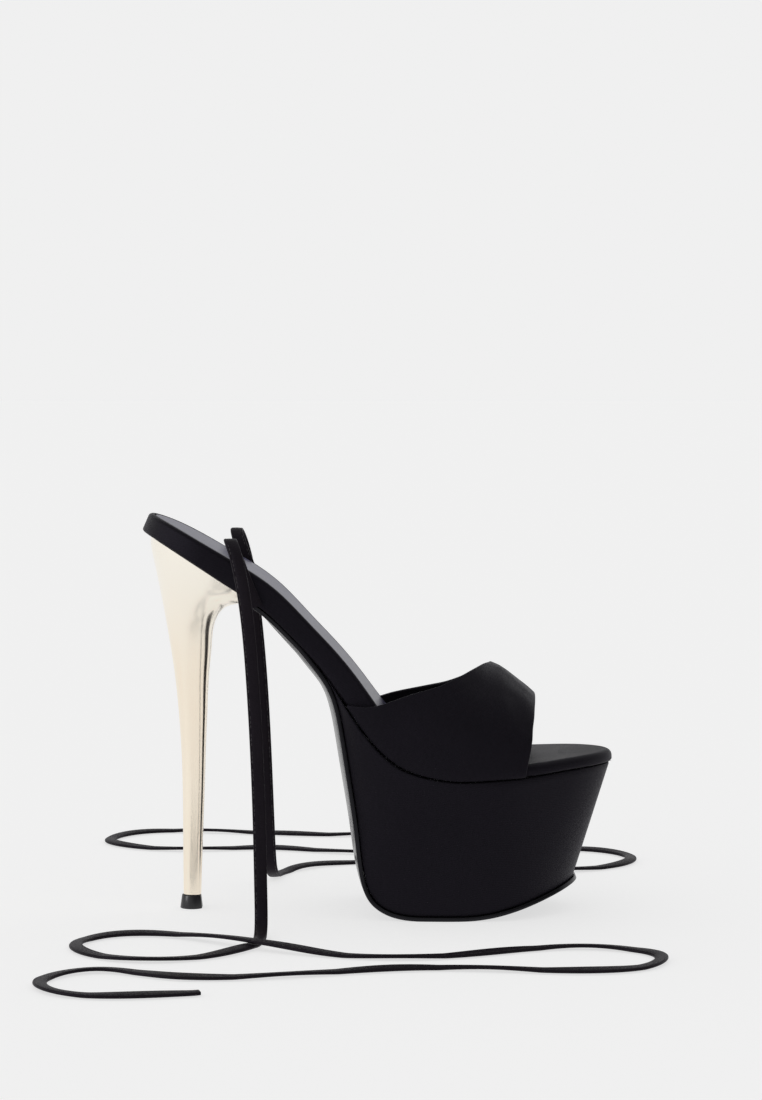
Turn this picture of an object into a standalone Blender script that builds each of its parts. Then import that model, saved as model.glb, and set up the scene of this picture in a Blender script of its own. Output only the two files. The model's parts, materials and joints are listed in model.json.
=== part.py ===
"""Lace-up platform sandal for a right foot.

A footbed wrapped in satin runs from a high seat down to a deep platform, which is wrapped in satin too.
One wide open-toed band covers the forefoot, the seat stands on a slender plated heel, and two flat ties
leave the waist, fold over outwards and lie loose on the floor.

Everything is in metres. The toe points to +X, the outer side of the foot is -Y and the floor is Z = 0.
"""

import math
from collections import namedtuple

import bmesh
import bpy
import numpy as np
from mathutils import Vector

# Driving sizes of the footbed
FOOTBED_LENGTH = 0.2055
HEEL_END_X = -0.1011
SEAT_HEIGHT = 0.1775
TOE_HEIGHT = 0.0679
BALL_WIDTH = 0.0755
FOOTBED_THICKNESS = 0.0110
FOOTBED_EDGE_RADIUS = 0.0018
LARGEST_ROLL = 0.3
HEEL_END_RADIUS = 0.028
TOE_END_RADIUS = 0.050
SHANK_CROWN = 0.0030
CROWN_BLEND = 0.060

# Sock liner on top of the footbed
SOCK_THICKNESS = 0.0012
SOCK_INSET = 0.0026
SOCK_DEPTH = 0.0002
SOCK_FRONT_RADIUS = 0.025
SOCK_TIP_WIDTH = 0.0012
SOCK_END_TRIM = 0.0001
POCKET_STEPS = (0.0004, 0.0020, 0.0045, 0.0085, 0.0140, 0.0210)
FLAT_POCKET = 0.00004
SOCK_END_ALONG = 0.770

# Outsole and platform
OUTSOLE_THICKNESS = 0.0019
OUTSOLE_TOE_RADIUS = 0.042
OUTSOLE_LIP = 0.0008
OUTSOLE_START_ALONG = 0.252
SPLIT_ALONG = 0.425
SPLIT_BLEND = 0.090
SPLIT_GAP = 0.0009
PLATFORM_MIN_WEDGE = 0.0008
PLATFORM_TIP_WIDTH = 0.0006

# Band over the forefoot
BAND_WALL = 0.0022
BAND_FOOTBED_GAP = 0.0005
THROAT_HEIGHT = 0.0428
BAND_FULLNESS = 2.3
RIDGE_SHIFT = 0.0030

# Heel and its top piece
HEEL_SEAT_LENGTH = 0.045
HEEL_SEAT_WIDTH = 0.051
HEEL_STEM_ALONG = 0.088
HEEL_SEAT_START_ALONG = 0.020
HEEL_LIP_GAP = 0.0007
TOP_PIECE_HEIGHT = 0.0062
TOP_PIECE_LENGTH = 0.0108
TOP_PIECE_WIDTH = 0.0100
TOP_PIECE_TAPER = 0.84

# Ties
TIE_WIDTH = 0.0056
TIE_THICKNESS = 0.0014
TIE_EXIT_ALONG = 0.236
TIE_STATIONS = 79
TIE_LONGEST_STEP = 0.020
TIE_LARGEST_TURN = 0.30

CLEARANCE = 0.0003

FOOTBED_STATIONS = 60
SOCK_STATIONS = 44
SOLE_STATIONS = 78
SOLE_LONGEST_STEP = 0.006
SOLE_LARGEST_TURN = 0.12
LAST_RING = 0.9995
WAIST_ROWS = 10
PLATFORM_STATIONS = 60
BAND_ROWS = 12
BAND_COLUMNS_A_SIDE = 15
HEEL_POINTS_A_SIDE = 11

# Sections of the footbed, from the heel's end to the toe. along: share of its length. rise: share of the
# drop from the seat to the toes. lateral, medial: shares of half the ball width, before the two ends are
# rounded. thickness and crown: shares of the named sizes.
FootbedSection = namedtuple("FootbedSection", "along rise lateral medial thickness crown")
FOOTBED = [
    FootbedSection(0.000, 1.000, 0.745, 0.715, 0.80, 0.00),
    FootbedSection(0.046, 0.961, 0.755, 0.720, 0.82, 0.00),
    FootbedSection(0.104, 0.903, 0.760, 0.720, 0.87, 0.00),
    FootbedSection(0.172, 0.829, 0.760, 0.715, 0.95, 0.00),
    FootbedSection(0.226, 0.768, 0.755, 0.705, 1.00, 0.05),
    FootbedSection(0.284, 0.685, 0.715, 0.660, 0.94, 0.50),
    FootbedSection(0.347, 0.563, 0.675, 0.610, 0.88, 0.93),
    FootbedSection(0.406, 0.445, 0.690, 0.620, 0.89, 1.00),
    FootbedSection(0.455, 0.332, 0.750, 0.685, 0.97, 0.75),
    FootbedSection(0.503, 0.208, 0.830, 0.785, 0.96, 0.27),
    FootbedSection(0.552, 0.104, 0.900, 0.880, 0.87, 0.00),
    FootbedSection(0.600, 0.043, 0.955, 0.950, 0.76, 0.00),
    FootbedSection(0.649, 0.014, 0.990, 0.990, 0.66, 0.00),
    FootbedSection(0.708, 0.002, 1.000, 1.005, 0.54, 0.00),
    FootbedSection(0.776, 0.000, 0.970, 0.995, 0.44, 0.00),
    FootbedSection(0.829, 0.003, 0.930, 0.980, 0.39, 0.00),
    FootbedSection(0.882, 0.012, 0.875, 0.925, 0.37, 0.00),
    FootbedSection(0.934, 0.020, 0.835, 0.890, 0.37, 0.00),
    FootbedSection(1.000, 0.027, 0.790, 0.850, 0.37, 0.00),
]

# Edge line of the outsole from where it leaves the footbed, down the platform's back and forward to the toe.
# ahead: how far in front of that point, as a share of the footbed's length. height: share of that point's
# height. The other columns are as for the footbed.
SoleSection = namedtuple("SoleSection", "ahead height lateral medial crown")
SOLE = [
    SoleSection(0.0205, 0.9589, 0.715, 0.650, 0.95),
    SoleSection(0.0275, 0.9084, 0.730, 0.675, 0.95),
    SoleSection(0.0340, 0.7892, 0.750, 0.710, 0.92),
    SoleSection(0.0435, 0.6707, 0.770, 0.740, 0.90),
    SoleSection(0.0565, 0.5141, 0.795, 0.775, 0.85),
    SoleSection(0.0675, 0.3537, 0.815, 0.800, 0.75),
    SoleSection(0.0785, 0.1867, 0.835, 0.825, 0.55),
    SoleSection(0.1015, 0.0734, 0.865, 0.860, 0.28),
    SoleSection(0.1465, 0.0170, 0.900, 0.900, 0.05),
    SoleSection(0.2045, 0.0000, 0.925, 0.930, 0.00),
    SoleSection(0.2645, 0.0000, 0.940, 0.955, 0.00),
    SoleSection(0.3245, 0.0000, 0.935, 0.960, 0.00),
    SoleSection(0.3945, 0.0288, 0.910, 0.950, 0.00),
    SoleSection(0.4695, 0.0747, 0.870, 0.925, 0.00),
    SoleSection(0.5495, 0.1310, 0.810, 0.870, 0.00),
]

# Rulings of the platform's wall. top: the footbed station that it starts from. foot: share of the outsole's
# path beyond the split. ledge: how far it stands out past the footbed, as a share of the band's wall.
PlatformSection = namedtuple("PlatformSection", "top foot ledge")
PLATFORM = [
    PlatformSection(0.425, 0.000, 0.00),
    PlatformSection(0.440, 0.045, 0.20),
    PlatformSection(0.456, 0.090, 0.70),
    PlatformSection(0.474, 0.145, 1.15),
    PlatformSection(0.496, 0.225, 1.30),
    PlatformSection(0.524, 0.330, 1.30),
    PlatformSection(0.553, 0.435, 1.30),
    PlatformSection(0.587, 0.528, 1.30),
    PlatformSection(0.631, 0.612, 1.30),
    PlatformSection(0.689, 0.693, 1.30),
    PlatformSection(0.762, 0.774, 1.20),
    PlatformSection(0.834, 0.848, 0.05),
    PlatformSection(0.907, 0.922, -0.30),
    PlatformSection(0.961, 0.970, -0.40),
    PlatformSection(1.000, 1.000, -0.50),
]

# Top line of the foot under the band. along as above, height as a share of THROAT_HEIGHT over the toes.
BandTop = namedtuple("BandTop", "along height")
BAND_TOP = [
    BandTop(0.400, 2.299),
    BandTop(0.493, 1.892),
    BandTop(0.566, 1.582),
    BandTop(0.639, 1.310),
    BandTop(0.688, 1.144),
    BandTop(0.717, 1.046),
    BandTop(0.737, 0.990),
    BandTop(0.755, 0.953),
    BandTop(0.771, 0.906),
    BandTop(0.798, 0.806),
    BandTop(0.824, 0.705),
    BandTop(0.837, 0.648),
    BandTop(0.860, 0.570),
]

# The band's edges. around: from 0 at the feather line to 1 at the ridge. The others are shares of the
# footbed's length.
BandEdge = namedtuple("BandEdge", "around rear_lateral rear_medial front")
BAND_EDGES = [
    BandEdge(0.000, 0.424, 0.432, 0.806),
    BandEdge(0.083, 0.467, 0.479, 0.811),
    BandEdge(0.185, 0.515, 0.531, 0.817),
    BandEdge(0.290, 0.566, 0.597, 0.821),
    BandEdge(0.380, 0.612, 0.648, 0.823),
    BandEdge(0.480, 0.650, 0.685, 0.826),
    BandEdge(0.583, 0.678, 0.707, 0.828),
    BandEdge(0.674, 0.697, 0.721, 0.830),
    BandEdge(0.838, 0.720, 0.735, 0.833),
    BandEdge(1.000, 0.737, 0.737, 0.835),
]

# The heel below its seat. back, front: reach from the stem's axis as shares of HEEL_SEAT_LENGTH.
# back_height, front_height: shares of the heel's height. half_width: share of half HEEL_SEAT_WIDTH.
HeelSection = namedtuple("HeelSection", "back back_height front front_height half_width")
HEEL = [
    HeelSection(0.391, 0.973, 0.507, 0.822, 0.93),
    HeelSection(0.356, 0.924, 0.373, 0.812, 0.82),
    HeelSection(0.318, 0.873, 0.278, 0.790, 0.68),
    HeelSection(0.278, 0.818, 0.224, 0.757, 0.55),
    HeelSection(0.227, 0.739, 0.200, 0.700, 0.43),
    HeelSection(0.176, 0.652, 0.176, 0.630, 0.342),
    HeelSection(0.133, 0.545, 0.158, 0.533, 0.277),
    HeelSection(0.107, 0.448, 0.144, 0.445, 0.238),
    HeelSection(0.093, 0.339, 0.131, 0.339, 0.210),
    HeelSection(0.089, 0.206, 0.111, 0.206, 0.188),
]
HEEL_FOOT = HeelSection(0.087, 0.0, 0.091, 0.0, 0.172)

# Routes of the two ties, in metres. out: distance outwards from the footbed's side where the tie leaves it.
# face_out, face_up: the way that the flat of the tie faces.
TieFold = namedtuple("TieFold", "x out z face_out face_up")
TIE_LATERAL = [
    TieFold(-0.0528, 0.0010, 0.1372, -1.0, 0.0),
    TieFold(-0.0552, 0.0011, 0.1430, -1.0, 0.0),
    TieFold(-0.0578, 0.0013, 0.1495, -1.0, 0.0),
    TieFold(-0.0602, 0.0018, 0.1560, -1.0, 0.1),
    TieFold(-0.0622, 0.0037, 0.1616, -0.8, 0.5),
    TieFold(-0.0634, 0.0078, 0.1658, -0.4, 0.9),
    TieFold(-0.0632, 0.0134, 0.1668, 0.0, 1.0),
    TieFold(-0.0616, 0.0186, 0.1634, 0.6, 0.8),
    TieFold(-0.0592, 0.0224, 0.1550, 1.0, 0.3),
    TieFold(-0.0564, 0.0252, 0.1400, 1.0, 0.0),
    TieFold(-0.0534, 0.0276, 0.1100, 1.0, 0.0),
    TieFold(-0.0514, 0.0294, 0.0750, 1.0, 0.0),
    TieFold(-0.0502, 0.0310, 0.0400, 1.0, 0.0),
    TieFold(-0.0497, 0.0328, 0.0180, 1.0, 0.2),
    TieFold(-0.0494, 0.0370, 0.0058, 0.7, 0.7),
    TieFold(-0.0494, 0.0454, 0.0012, 0.0, 1.0),
    TieFold(-0.0524, 0.0654, 0.0012, 0.0, 1.0),
    TieFold(-0.0680, 0.0844, 0.0012, 0.0, 1.0),
    TieFold(-0.0940, 0.0924, 0.0012, 0.0, 1.0),
    TieFold(-0.1180, 0.0804, 0.0012, 0.0, 1.0),
    TieFold(-0.1250, 0.0584, 0.0012, 0.0, 1.0),
    TieFold(-0.1120, 0.0414, 0.0012, 0.0, 1.0),
    TieFold(-0.0890, 0.0404, 0.0014, 0.0, 1.0),
    TieFold(-0.0680, 0.0524, 0.0026, 0.0, 1.0),
    TieFold(-0.0480, 0.0674, 0.0034, 0.0, 1.0),
    TieFold(-0.0220, 0.0804, 0.0014, 0.0, 1.0),
    TieFold(0.0120, 0.0874, 0.0012, 0.0, 1.0),
    TieFold(0.0440, 0.0794, 0.0012, 0.0, 1.0),
    TieFold(0.0720, 0.0674, 0.0012, 0.0, 1.0),
    TieFold(0.0980, 0.0684, 0.0012, 0.0, 1.0),
    TieFold(0.1150, 0.0844, 0.0012, 0.0, 1.0),
    TieFold(0.1090, 0.1044, 0.0012, 0.0, 1.0),
    TieFold(0.0840, 0.1144, 0.0012, 0.0, 1.0),
    TieFold(0.0520, 0.1104, 0.0012, 0.0, 1.0),
    TieFold(0.0200, 0.1084, 0.0012, 0.0, 1.0),
    TieFold(-0.0140, 0.1154, 0.0012, 0.0, 1.0),
    TieFold(-0.0480, 0.1244, 0.0012, 0.0, 1.0),
    TieFold(-0.0820, 0.1244, 0.0012, 0.0, 1.0),
    TieFold(-0.1120, 0.1124, 0.0012, 0.0, 1.0),
    TieFold(-0.1310, 0.1310, 0.0012, 0.0, 1.0),
    TieFold(-0.1240, 0.1520, 0.0012, 0.0, 1.0),
    TieFold(-0.0980, 0.1600, 0.0012, 0.0, 1.0),
    TieFold(-0.0680, 0.1540, 0.0012, 0.0, 1.0),
]
TIE_MEDIAL = [
    TieFold(-0.0528, 0.0010, 0.1372, -1.0, 0.0),
    TieFold(-0.0552, 0.0012, 0.1430, -1.0, 0.0),
    TieFold(-0.0578, 0.0014, 0.1495, -1.0, 0.0),
    TieFold(-0.0604, 0.0020, 0.1560, -1.0, 0.1),
    TieFold(-0.0628, 0.0040, 0.1618, -0.8, 0.5),
    TieFold(-0.0644, 0.0082, 0.1664, -0.4, 0.9),
    TieFold(-0.0646, 0.0140, 0.1676, 0.0, 1.0),
    TieFold(-0.0634, 0.0192, 0.1642, 0.6, 0.8),
    TieFold(-0.0612, 0.0230, 0.1560, 1.0, 0.3),
    TieFold(-0.0584, 0.0258, 0.1400, 1.0, 0.0),
    TieFold(-0.0552, 0.0284, 0.1100, 1.0, 0.0),
    TieFold(-0.0530, 0.0304, 0.0750, 1.0, 0.0),
    TieFold(-0.0516, 0.0322, 0.0400, 1.0, 0.0),
    TieFold(-0.0508, 0.0342, 0.0180, 1.0, 0.2),
    TieFold(-0.0500, 0.0384, 0.0058, 0.7, 0.7),
    TieFold(-0.0486, 0.0466, 0.0012, 0.0, 1.0),
    TieFold(-0.0420, 0.0646, 0.0012, 0.0, 1.0),
    TieFold(-0.0230, 0.0816, 0.0012, 0.0, 1.0),
    TieFold(0.0060, 0.0876, 0.0012, 0.0, 1.0),
    TieFold(0.0360, 0.0816, 0.0012, 0.0, 1.0),
    TieFold(0.0640, 0.0686, 0.0012, 0.0, 1.0),
    TieFold(0.0940, 0.0656, 0.0012, 0.0, 1.0),
    TieFold(0.1180, 0.0796, 0.0012, 0.0, 1.0),
    TieFold(0.1240, 0.1026, 0.0012, 0.0, 1.0),
    TieFold(0.1080, 0.1206, 0.0012, 0.0, 1.0),
    TieFold(0.0780, 0.1246, 0.0012, 0.0, 1.0),
    TieFold(0.0440, 0.1166, 0.0012, 0.0, 1.0),
    TieFold(0.0100, 0.1126, 0.0012, 0.0, 1.0),
    TieFold(-0.0240, 0.1186, 0.0012, 0.0, 1.0),
    TieFold(-0.0580, 0.1276, 0.0012, 0.0, 1.0),
    TieFold(-0.0920, 0.1246, 0.0012, 0.0, 1.0),
    TieFold(-0.1200, 0.1300, 0.0012, 0.0, 1.0),
    TieFold(-0.1370, 0.1500, 0.0012, 0.0, 1.0),
    TieFold(-0.1270, 0.1740, 0.0012, 0.0, 1.0),
    TieFold(-0.0970, 0.1830, 0.0012, 0.0, 1.0),
    TieFold(-0.0620, 0.1760, 0.0012, 0.0, 1.0),
    TieFold(-0.0270, 0.1700, 0.0012, 0.0, 1.0),
    TieFold(0.0080, 0.1750, 0.0012, 0.0, 1.0),
    TieFold(0.0440, 0.1810, 0.0012, 0.0, 1.0),
    TieFold(0.0790, 0.1770, 0.0012, 0.0, 1.0),
]

# Colour (linear), roughness and metallic value of each material
SATIN = ("satin", (0.012, 0.011, 0.015), 0.55, 0.0)
SOCK_LEATHER = ("sock_leather", (0.035, 0.034, 0.042), 0.35, 0.0)
SOLE_RUBBER = ("sole_rubber", (0.014, 0.014, 0.016), 0.40, 0.0)
PLATED_GOLD = ("plated_gold", (0.93, 0.79, 0.52), 0.12, 1.0)


def smooth_curve(knots, values):
    """Returns a function that follows a natural cubic spline through the values."""
    x = np.asarray(knots, float)
    y = np.asarray(values, float)
    step = np.diff(x)
    slope = np.diff(y) / step
    count = len(x)
    matrix = np.eye(count)
    right = np.zeros(count)
    for i in range(1, count - 1):
        matrix[i, i - 1 : i + 2] = step[i - 1], 2 * (step[i - 1] + step[i]), step[i]
        right[i] = 6 * (slope[i] - slope[i - 1])
    bend = np.linalg.solve(matrix, right)

    def at(t):
        t = min(max(t, x[0]), x[-1])
        i = min(int(np.searchsorted(x, t, side="right")) - 1, count - 2)
        near = (x[i + 1] - t) / step[i]
        far = 1 - near
        curve = (near**3 - near) * bend[i] + (far**3 - far) * bend[i + 1]
        return near * y[i] + far * y[i + 1] + curve * step[i] ** 2 / 6

    return at


def column(table, key, name):
    """Returns the smooth curve of one column of a table over its key column."""
    return smooth_curve([getattr(row, key) for row in table], [getattr(row, name) for row in table])


def round_end(distance, radius):
    """Share of the full width that is left at this distance from a round end."""
    reach = min(max(distance / radius, 0.0), 1.0)
    return math.sqrt(max(1 - (1 - reach) ** 2, 0.0))


def spread(count, low, high, ease_low=False, ease_high=False):
    """Shares from low to high, closer together at the ends that are eased."""
    start = -math.pi / 2 if ease_low else 0.0
    end = math.pi / 2 if ease_high else 0.0
    if not (ease_low or ease_high):
        return np.linspace(low, high, count)
    if ease_low and ease_high:
        part = (np.sin(np.linspace(start, end, count)) + 1) / 2
    elif ease_high:
        part = np.sin(np.linspace(0.0, end, count))
    else:
        part = np.sin(np.linspace(start, 0.0, count)) + 1
    return low + (high - low) * part


def even_turning(points, count, longest_step, largest_turn):
    """Shares of a fine line of points where it is best cut: by length, and closer where it turns."""
    legs = np.diff(np.asarray(points, float), axis=0)
    lengths = np.linalg.norm(legs, axis=1)
    ways = legs / lengths[:, None]
    turns = np.arccos(np.clip((ways[1:] * ways[:-1]).sum(axis=1), -1.0, 1.0))
    cost = lengths / longest_step
    cost[1:] += turns / largest_turn
    total = np.concatenate([[0.0], np.cumsum(cost)])
    return np.interp(np.linspace(0.0, total[-1], count), total, np.linspace(0.0, 1.0, len(points)))


rise_of = column(FOOTBED, "along", "rise")
lateral_of = column(FOOTBED, "along", "lateral")
medial_of = column(FOOTBED, "along", "medial")
thickness_of = column(FOOTBED, "along", "thickness")
crown_of = column(FOOTBED, "along", "crown")
DROP = SEAT_HEIGHT - TOE_HEIGHT


def footbed_x(along):
    """Place along X of a station of the footbed."""
    return HEEL_END_X + along * FOOTBED_LENGTH


def footbed_top(along):
    """Centre of the footbed's top surface, as (x, z)."""
    return footbed_x(along), TOE_HEIGHT + DROP * rise_of(along)


def footbed_normal(along):
    """Unit vector (x, z) straight up out of the footbed."""
    step = 0.002
    x0, z0 = footbed_top(max(along - step, 0.0))
    x1, z1 = footbed_top(min(along + step, 1.0))
    length = math.hypot(x1 - x0, z1 - z0)
    return -(z1 - z0) / length, (x1 - x0) / length


def footbed_thickness(along):
    """Thickness of the footbed at a station, at its edge."""
    return FOOTBED_THICKNESS * thickness_of(along)


def footbed_crown(along):
    """How far the underside bulges at its middle. It is flat behind the outsole's start, for the heel."""
    grown = min(max((along - OUTSOLE_START_ALONG) / CROWN_BLEND, 0.0), 1.0)
    return SHANK_CROWN * max(crown_of(along), 0.0) * grown


def footbed_half_widths(along, inset=0.0):
    """(lateral, medial) half widths of the footbed's outline, moved in by inset."""
    from_heel = along * FOOTBED_LENGTH - inset
    from_toe = (1 - along) * FOOTBED_LENGTH - inset
    ends = round_end(from_heel, HEEL_END_RADIUS) * round_end(from_toe, TOE_END_RADIUS)
    half = BALL_WIDTH / 2
    return (lateral_of(along) * half - inset) * ends, (medial_of(along) * half - inset) * ends


def below_footbed(along, depth):
    """Point (x, z) this deep under the footbed's top, square to it."""
    x, z = footbed_top(along)
    nx, nz = footbed_normal(along)
    return x - nx * depth, z - nz * depth


def side_of(origin, normal, reach, profile):
    """One side of a ring from a half profile. reach is the half width, negative on the lateral side."""
    x, z = origin
    nx, nz = normal
    return [Vector((x + nx * h, reach * across, z + nz * h)) for across, h in profile]


def ring_of(origin, normal, lateral, medial, profile):
    """A closed ring from a half profile of (across, height) pairs, bottom to top.

    across is a share of the half width. Point i of the ring mirrors the i-th point from its end.
    """
    return side_of(origin, normal, -lateral, profile) + side_of(origin, normal, medial, profile)[::-1]


def loft(rings):
    """A closed mesh through rings of mirrored points, capped by strips across each end."""
    mesh = bmesh.new()
    rows = [[mesh.verts.new(point) for point in ring] for ring in rings]
    count = len(rows[0])
    for near, far in zip(rows, rows[1:]):
        for i in range(count):
            j = (i + 1) % count
            mesh.faces.new((near[i], near[j], far[j], far[i]))
    for row in (rows[0], rows[-1]):
        for i in range(count // 2 - 1):
            mesh.faces.new((row[i], row[i + 1], row[count - 2 - i], row[count - 1 - i]))
    bmesh.ops.recalc_face_normals(mesh, faces=mesh.faces)
    if mesh.calc_volume(signed=True) < 0:
        bmesh.ops.reverse_faces(mesh, faces=mesh.faces)
    return mesh


def make_material(part_name, finish):
    """A Principled material for one part, from a finish's colour, roughness and metallic value."""
    name, colour, roughness, metallic = finish
    material = bpy.data.materials.new(f"{part_name}_{name}")
    material.use_nodes = True
    shader = material.node_tree.nodes["Principled BSDF"]
    shader.inputs["Base Color"].default_value = (*colour, 1.0)
    shader.inputs["Roughness"].default_value = roughness
    shader.inputs["Metallic"].default_value = metallic
    material.diffuse_color = (*colour, 1.0)
    return material


def add_part(name, mesh, finish, collection, parent):
    """Turns a bmesh into a named object with its material."""
    data = bpy.data.meshes.new(name)
    mesh.to_mesh(data)
    mesh.free()
    data.materials.append(make_material(name, finish))
    data.shade_smooth()
    data.set_sharp_from_angle(angle=math.radians(35))
    part = bpy.data.objects.new(name, data)
    collection.objects.link(part)
    part.parent = parent
    return part


def sock_half_widths(along, grow=0.0):
    """(lateral, medial) half widths of the sock liner's outline, moved out by grow, or None outside it."""
    inset = SOCK_INSET - grow
    last = SOCK_END_ALONG + grow / FOOTBED_LENGTH
    if not inset <= along * FOOTBED_LENGTH <= last * FOOTBED_LENGTH:
        return None
    front = round_end((last - along) * FOOTBED_LENGTH + SOCK_TIP_WIDTH, SOCK_FRONT_RADIUS)
    lateral, medial = footbed_half_widths(along, inset)
    return max(lateral * front, SOCK_TIP_WIDTH), max(medial * front, SOCK_TIP_WIDTH)


def footbed_stations():
    """Places of the footbed's rings, closer together at each end of the pocket."""
    stations = list(spread(FOOTBED_STATIONS, 0.0006, 0.9994, ease_low=True, ease_high=True))
    first = (SOCK_INSET - CLEARANCE) / FOOTBED_LENGTH
    last = SOCK_END_ALONG + CLEARANCE / FOOTBED_LENGTH
    for end, inward in ((first, 1), (last, -1)):
        near = -2 * POCKET_STEPS[0], 1.3 * POCKET_STEPS[-1]
        stations = [along for along in stations if not near[0] < (along - end) * inward < near[1]]
        stations += [end - inward * POCKET_STEPS[0]] + [end + inward * step for step in POCKET_STEPS]
    return sorted(stations)


def footbed_mesh():
    """The footbed board in its satin wrap, with a rolled edge, a crowned waist and a pocket for the sock."""
    rings = []
    for along in footbed_stations():
        halves = footbed_half_widths(along)
        pocket = sock_half_widths(along, CLEARANCE)
        depth = SOCK_DEPTH + SOCK_THICKNESS + CLEARANCE if pocket else FLAT_POCKET
        thick = footbed_thickness(along)
        crown = footbed_crown(along)
        roll = FOOTBED_EDGE_RADIUS / max(min(halves), FOOTBED_EDGE_RADIUS / LARGEST_ROLL)
        sides = []
        for k, sign in ((0, -1), (1, 1)):
            wall = pocket[k] / halves[k] if pocket else 0.9 * (1.0 - roll)
            profile = [
                (0.34, -thick - crown * (1 - 0.34**2)),
                (0.72, -thick - crown * (1 - 0.72**2)),
                (0.985, -thick),
                (1.0, -thick * 0.72),
                (1.0, -FOOTBED_EDGE_RADIUS),
                (1.0 - 0.29 * roll, -0.29 * FOOTBED_EDGE_RADIUS),
                (1.0 - roll, 0.0),
                (min(wall, 1.0 - 1.05 * roll), 0.0),
                (min(wall, 1.0 - 1.05 * roll), -depth),
                (0.45 * min(wall, 1.0 - roll), -depth),
            ]
            sides.append(side_of(footbed_top(along), footbed_normal(along), sign * halves[k], profile))
        rings.append(sides[0] + sides[1][::-1])
    return loft(rings)


def sock_mesh():
    """The sock liner, sunk into the footbed so that its top lies just under the rim."""
    rings = []
    first = (SOCK_INSET + SOCK_END_TRIM) / FOOTBED_LENGTH
    last = SOCK_END_ALONG - SOCK_END_TRIM / FOOTBED_LENGTH
    for along in spread(SOCK_STATIONS, first, last, ease_low=True, ease_high=True):
        lateral, medial = sock_half_widths(along)
        low = -SOCK_DEPTH - SOCK_THICKNESS
        profile = [(0.5, low), (1.0, low), (1.0, -SOCK_DEPTH), (0.5, -SOCK_DEPTH)]
        rings.append(ring_of(footbed_top(along), footbed_normal(along), lateral, medial, profile))
    return loft(rings)


def sole_edge_rows():
    """Rows (x, z, lateral, medial, crown) of the outsole's outer edge line, from the heel's breast on."""
    rows = []
    for along in np.linspace(OUTSOLE_START_ALONG, SPLIT_ALONG, WAIST_ROWS):
        leaving = max(1 - (SPLIT_ALONG - along) / SPLIT_BLEND, 0.0)
        depth = CLEARANCE + OUTSOLE_THICKNESS + SPLIT_GAP * leaving**2
        x, z = below_footbed(along, footbed_thickness(along) + depth)
        lateral, medial = footbed_half_widths(along, OUTSOLE_LIP)
        rows.append((x, z, lateral, medial, footbed_crown(along)))
    half = BALL_WIDTH / 2
    split_x, split_z = rows[-1][:2]
    for row in SOLE:
        x = split_x + row.ahead * FOOTBED_LENGTH
        z = split_z * row.height
        rows.append((x, z, row.lateral * half, row.medial * half, SHANK_CROWN * row.crown))
    return rows


class SolePath:
    """The outsole's edge line as smooth curves over the share of its length."""

    def __init__(self):
        rows = np.array(sole_edge_rows())
        chords = np.hypot(np.diff(rows[:, 0]), np.diff(rows[:, 1]))
        shares = np.concatenate([[0.0], np.cumsum(chords)])
        self.length = shares[-1]
        shares /= self.length
        self.split = shares[WAIST_ROWS - 1]
        self.curves = [smooth_curve(shares, rows[:, k]) for k in range(5)]

    def place(self, share):
        """Point (x, z) of the edge line."""
        return self.curves[0](share), max(self.curves[1](share), 0.0)

    def normal(self, share):
        """Unit vector (x, z) that points into the shoe."""
        x0, z0 = self.place(max(share - 0.003, 0.0))
        x1, z1 = self.place(min(share + 0.003, 1.0))
        length = math.hypot(x1 - x0, z1 - z0)
        return -(z1 - z0) / length, (x1 - x0) / length

    def half_widths(self, share, inset=0.0):
        """(lateral, medial) half widths of the outsole, moved in by inset."""
        end = round_end((1 - share) * self.length - inset, OUTSOLE_TOE_RADIUS)
        return (self.curves[2](share) - inset) * end, (self.curves[3](share) - inset) * end

    def crown(self, share):
        """How far the outsole bulges at its middle."""
        return max(self.curves[4](share), 0.0)


def outsole_mesh(path):
    """One rubber sheet along the waist, down the platform's back and under it to the toe."""
    fine = [(*path.place(share), path.half_widths(share)[0]) for share in np.linspace(0.0, LAST_RING, 1500)]
    rings = []
    for share in LAST_RING * even_turning(fine, SOLE_STATIONS, SOLE_LONGEST_STEP, SOLE_LARGEST_TURN):
        lateral, medial = path.half_widths(share)
        crown = path.crown(share)
        profile = [
            (0.3, -crown * (1 - 0.3**2)),
            (0.7, -crown * (1 - 0.7**2)),
            (0.97, -crown * (1 - 0.97**2)),
            (1.0, 0.25 * OUTSOLE_THICKNESS),
            (1.0, OUTSOLE_THICKNESS),
            (0.7, OUTSOLE_THICKNESS - crown * (1 - 0.7**2)),
            (0.3, OUTSOLE_THICKNESS - crown * (1 - 0.3**2)),
        ]
        rings.append(ring_of(path.place(share), path.normal(share), lateral, medial, profile))
    return loft(rings)


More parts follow.
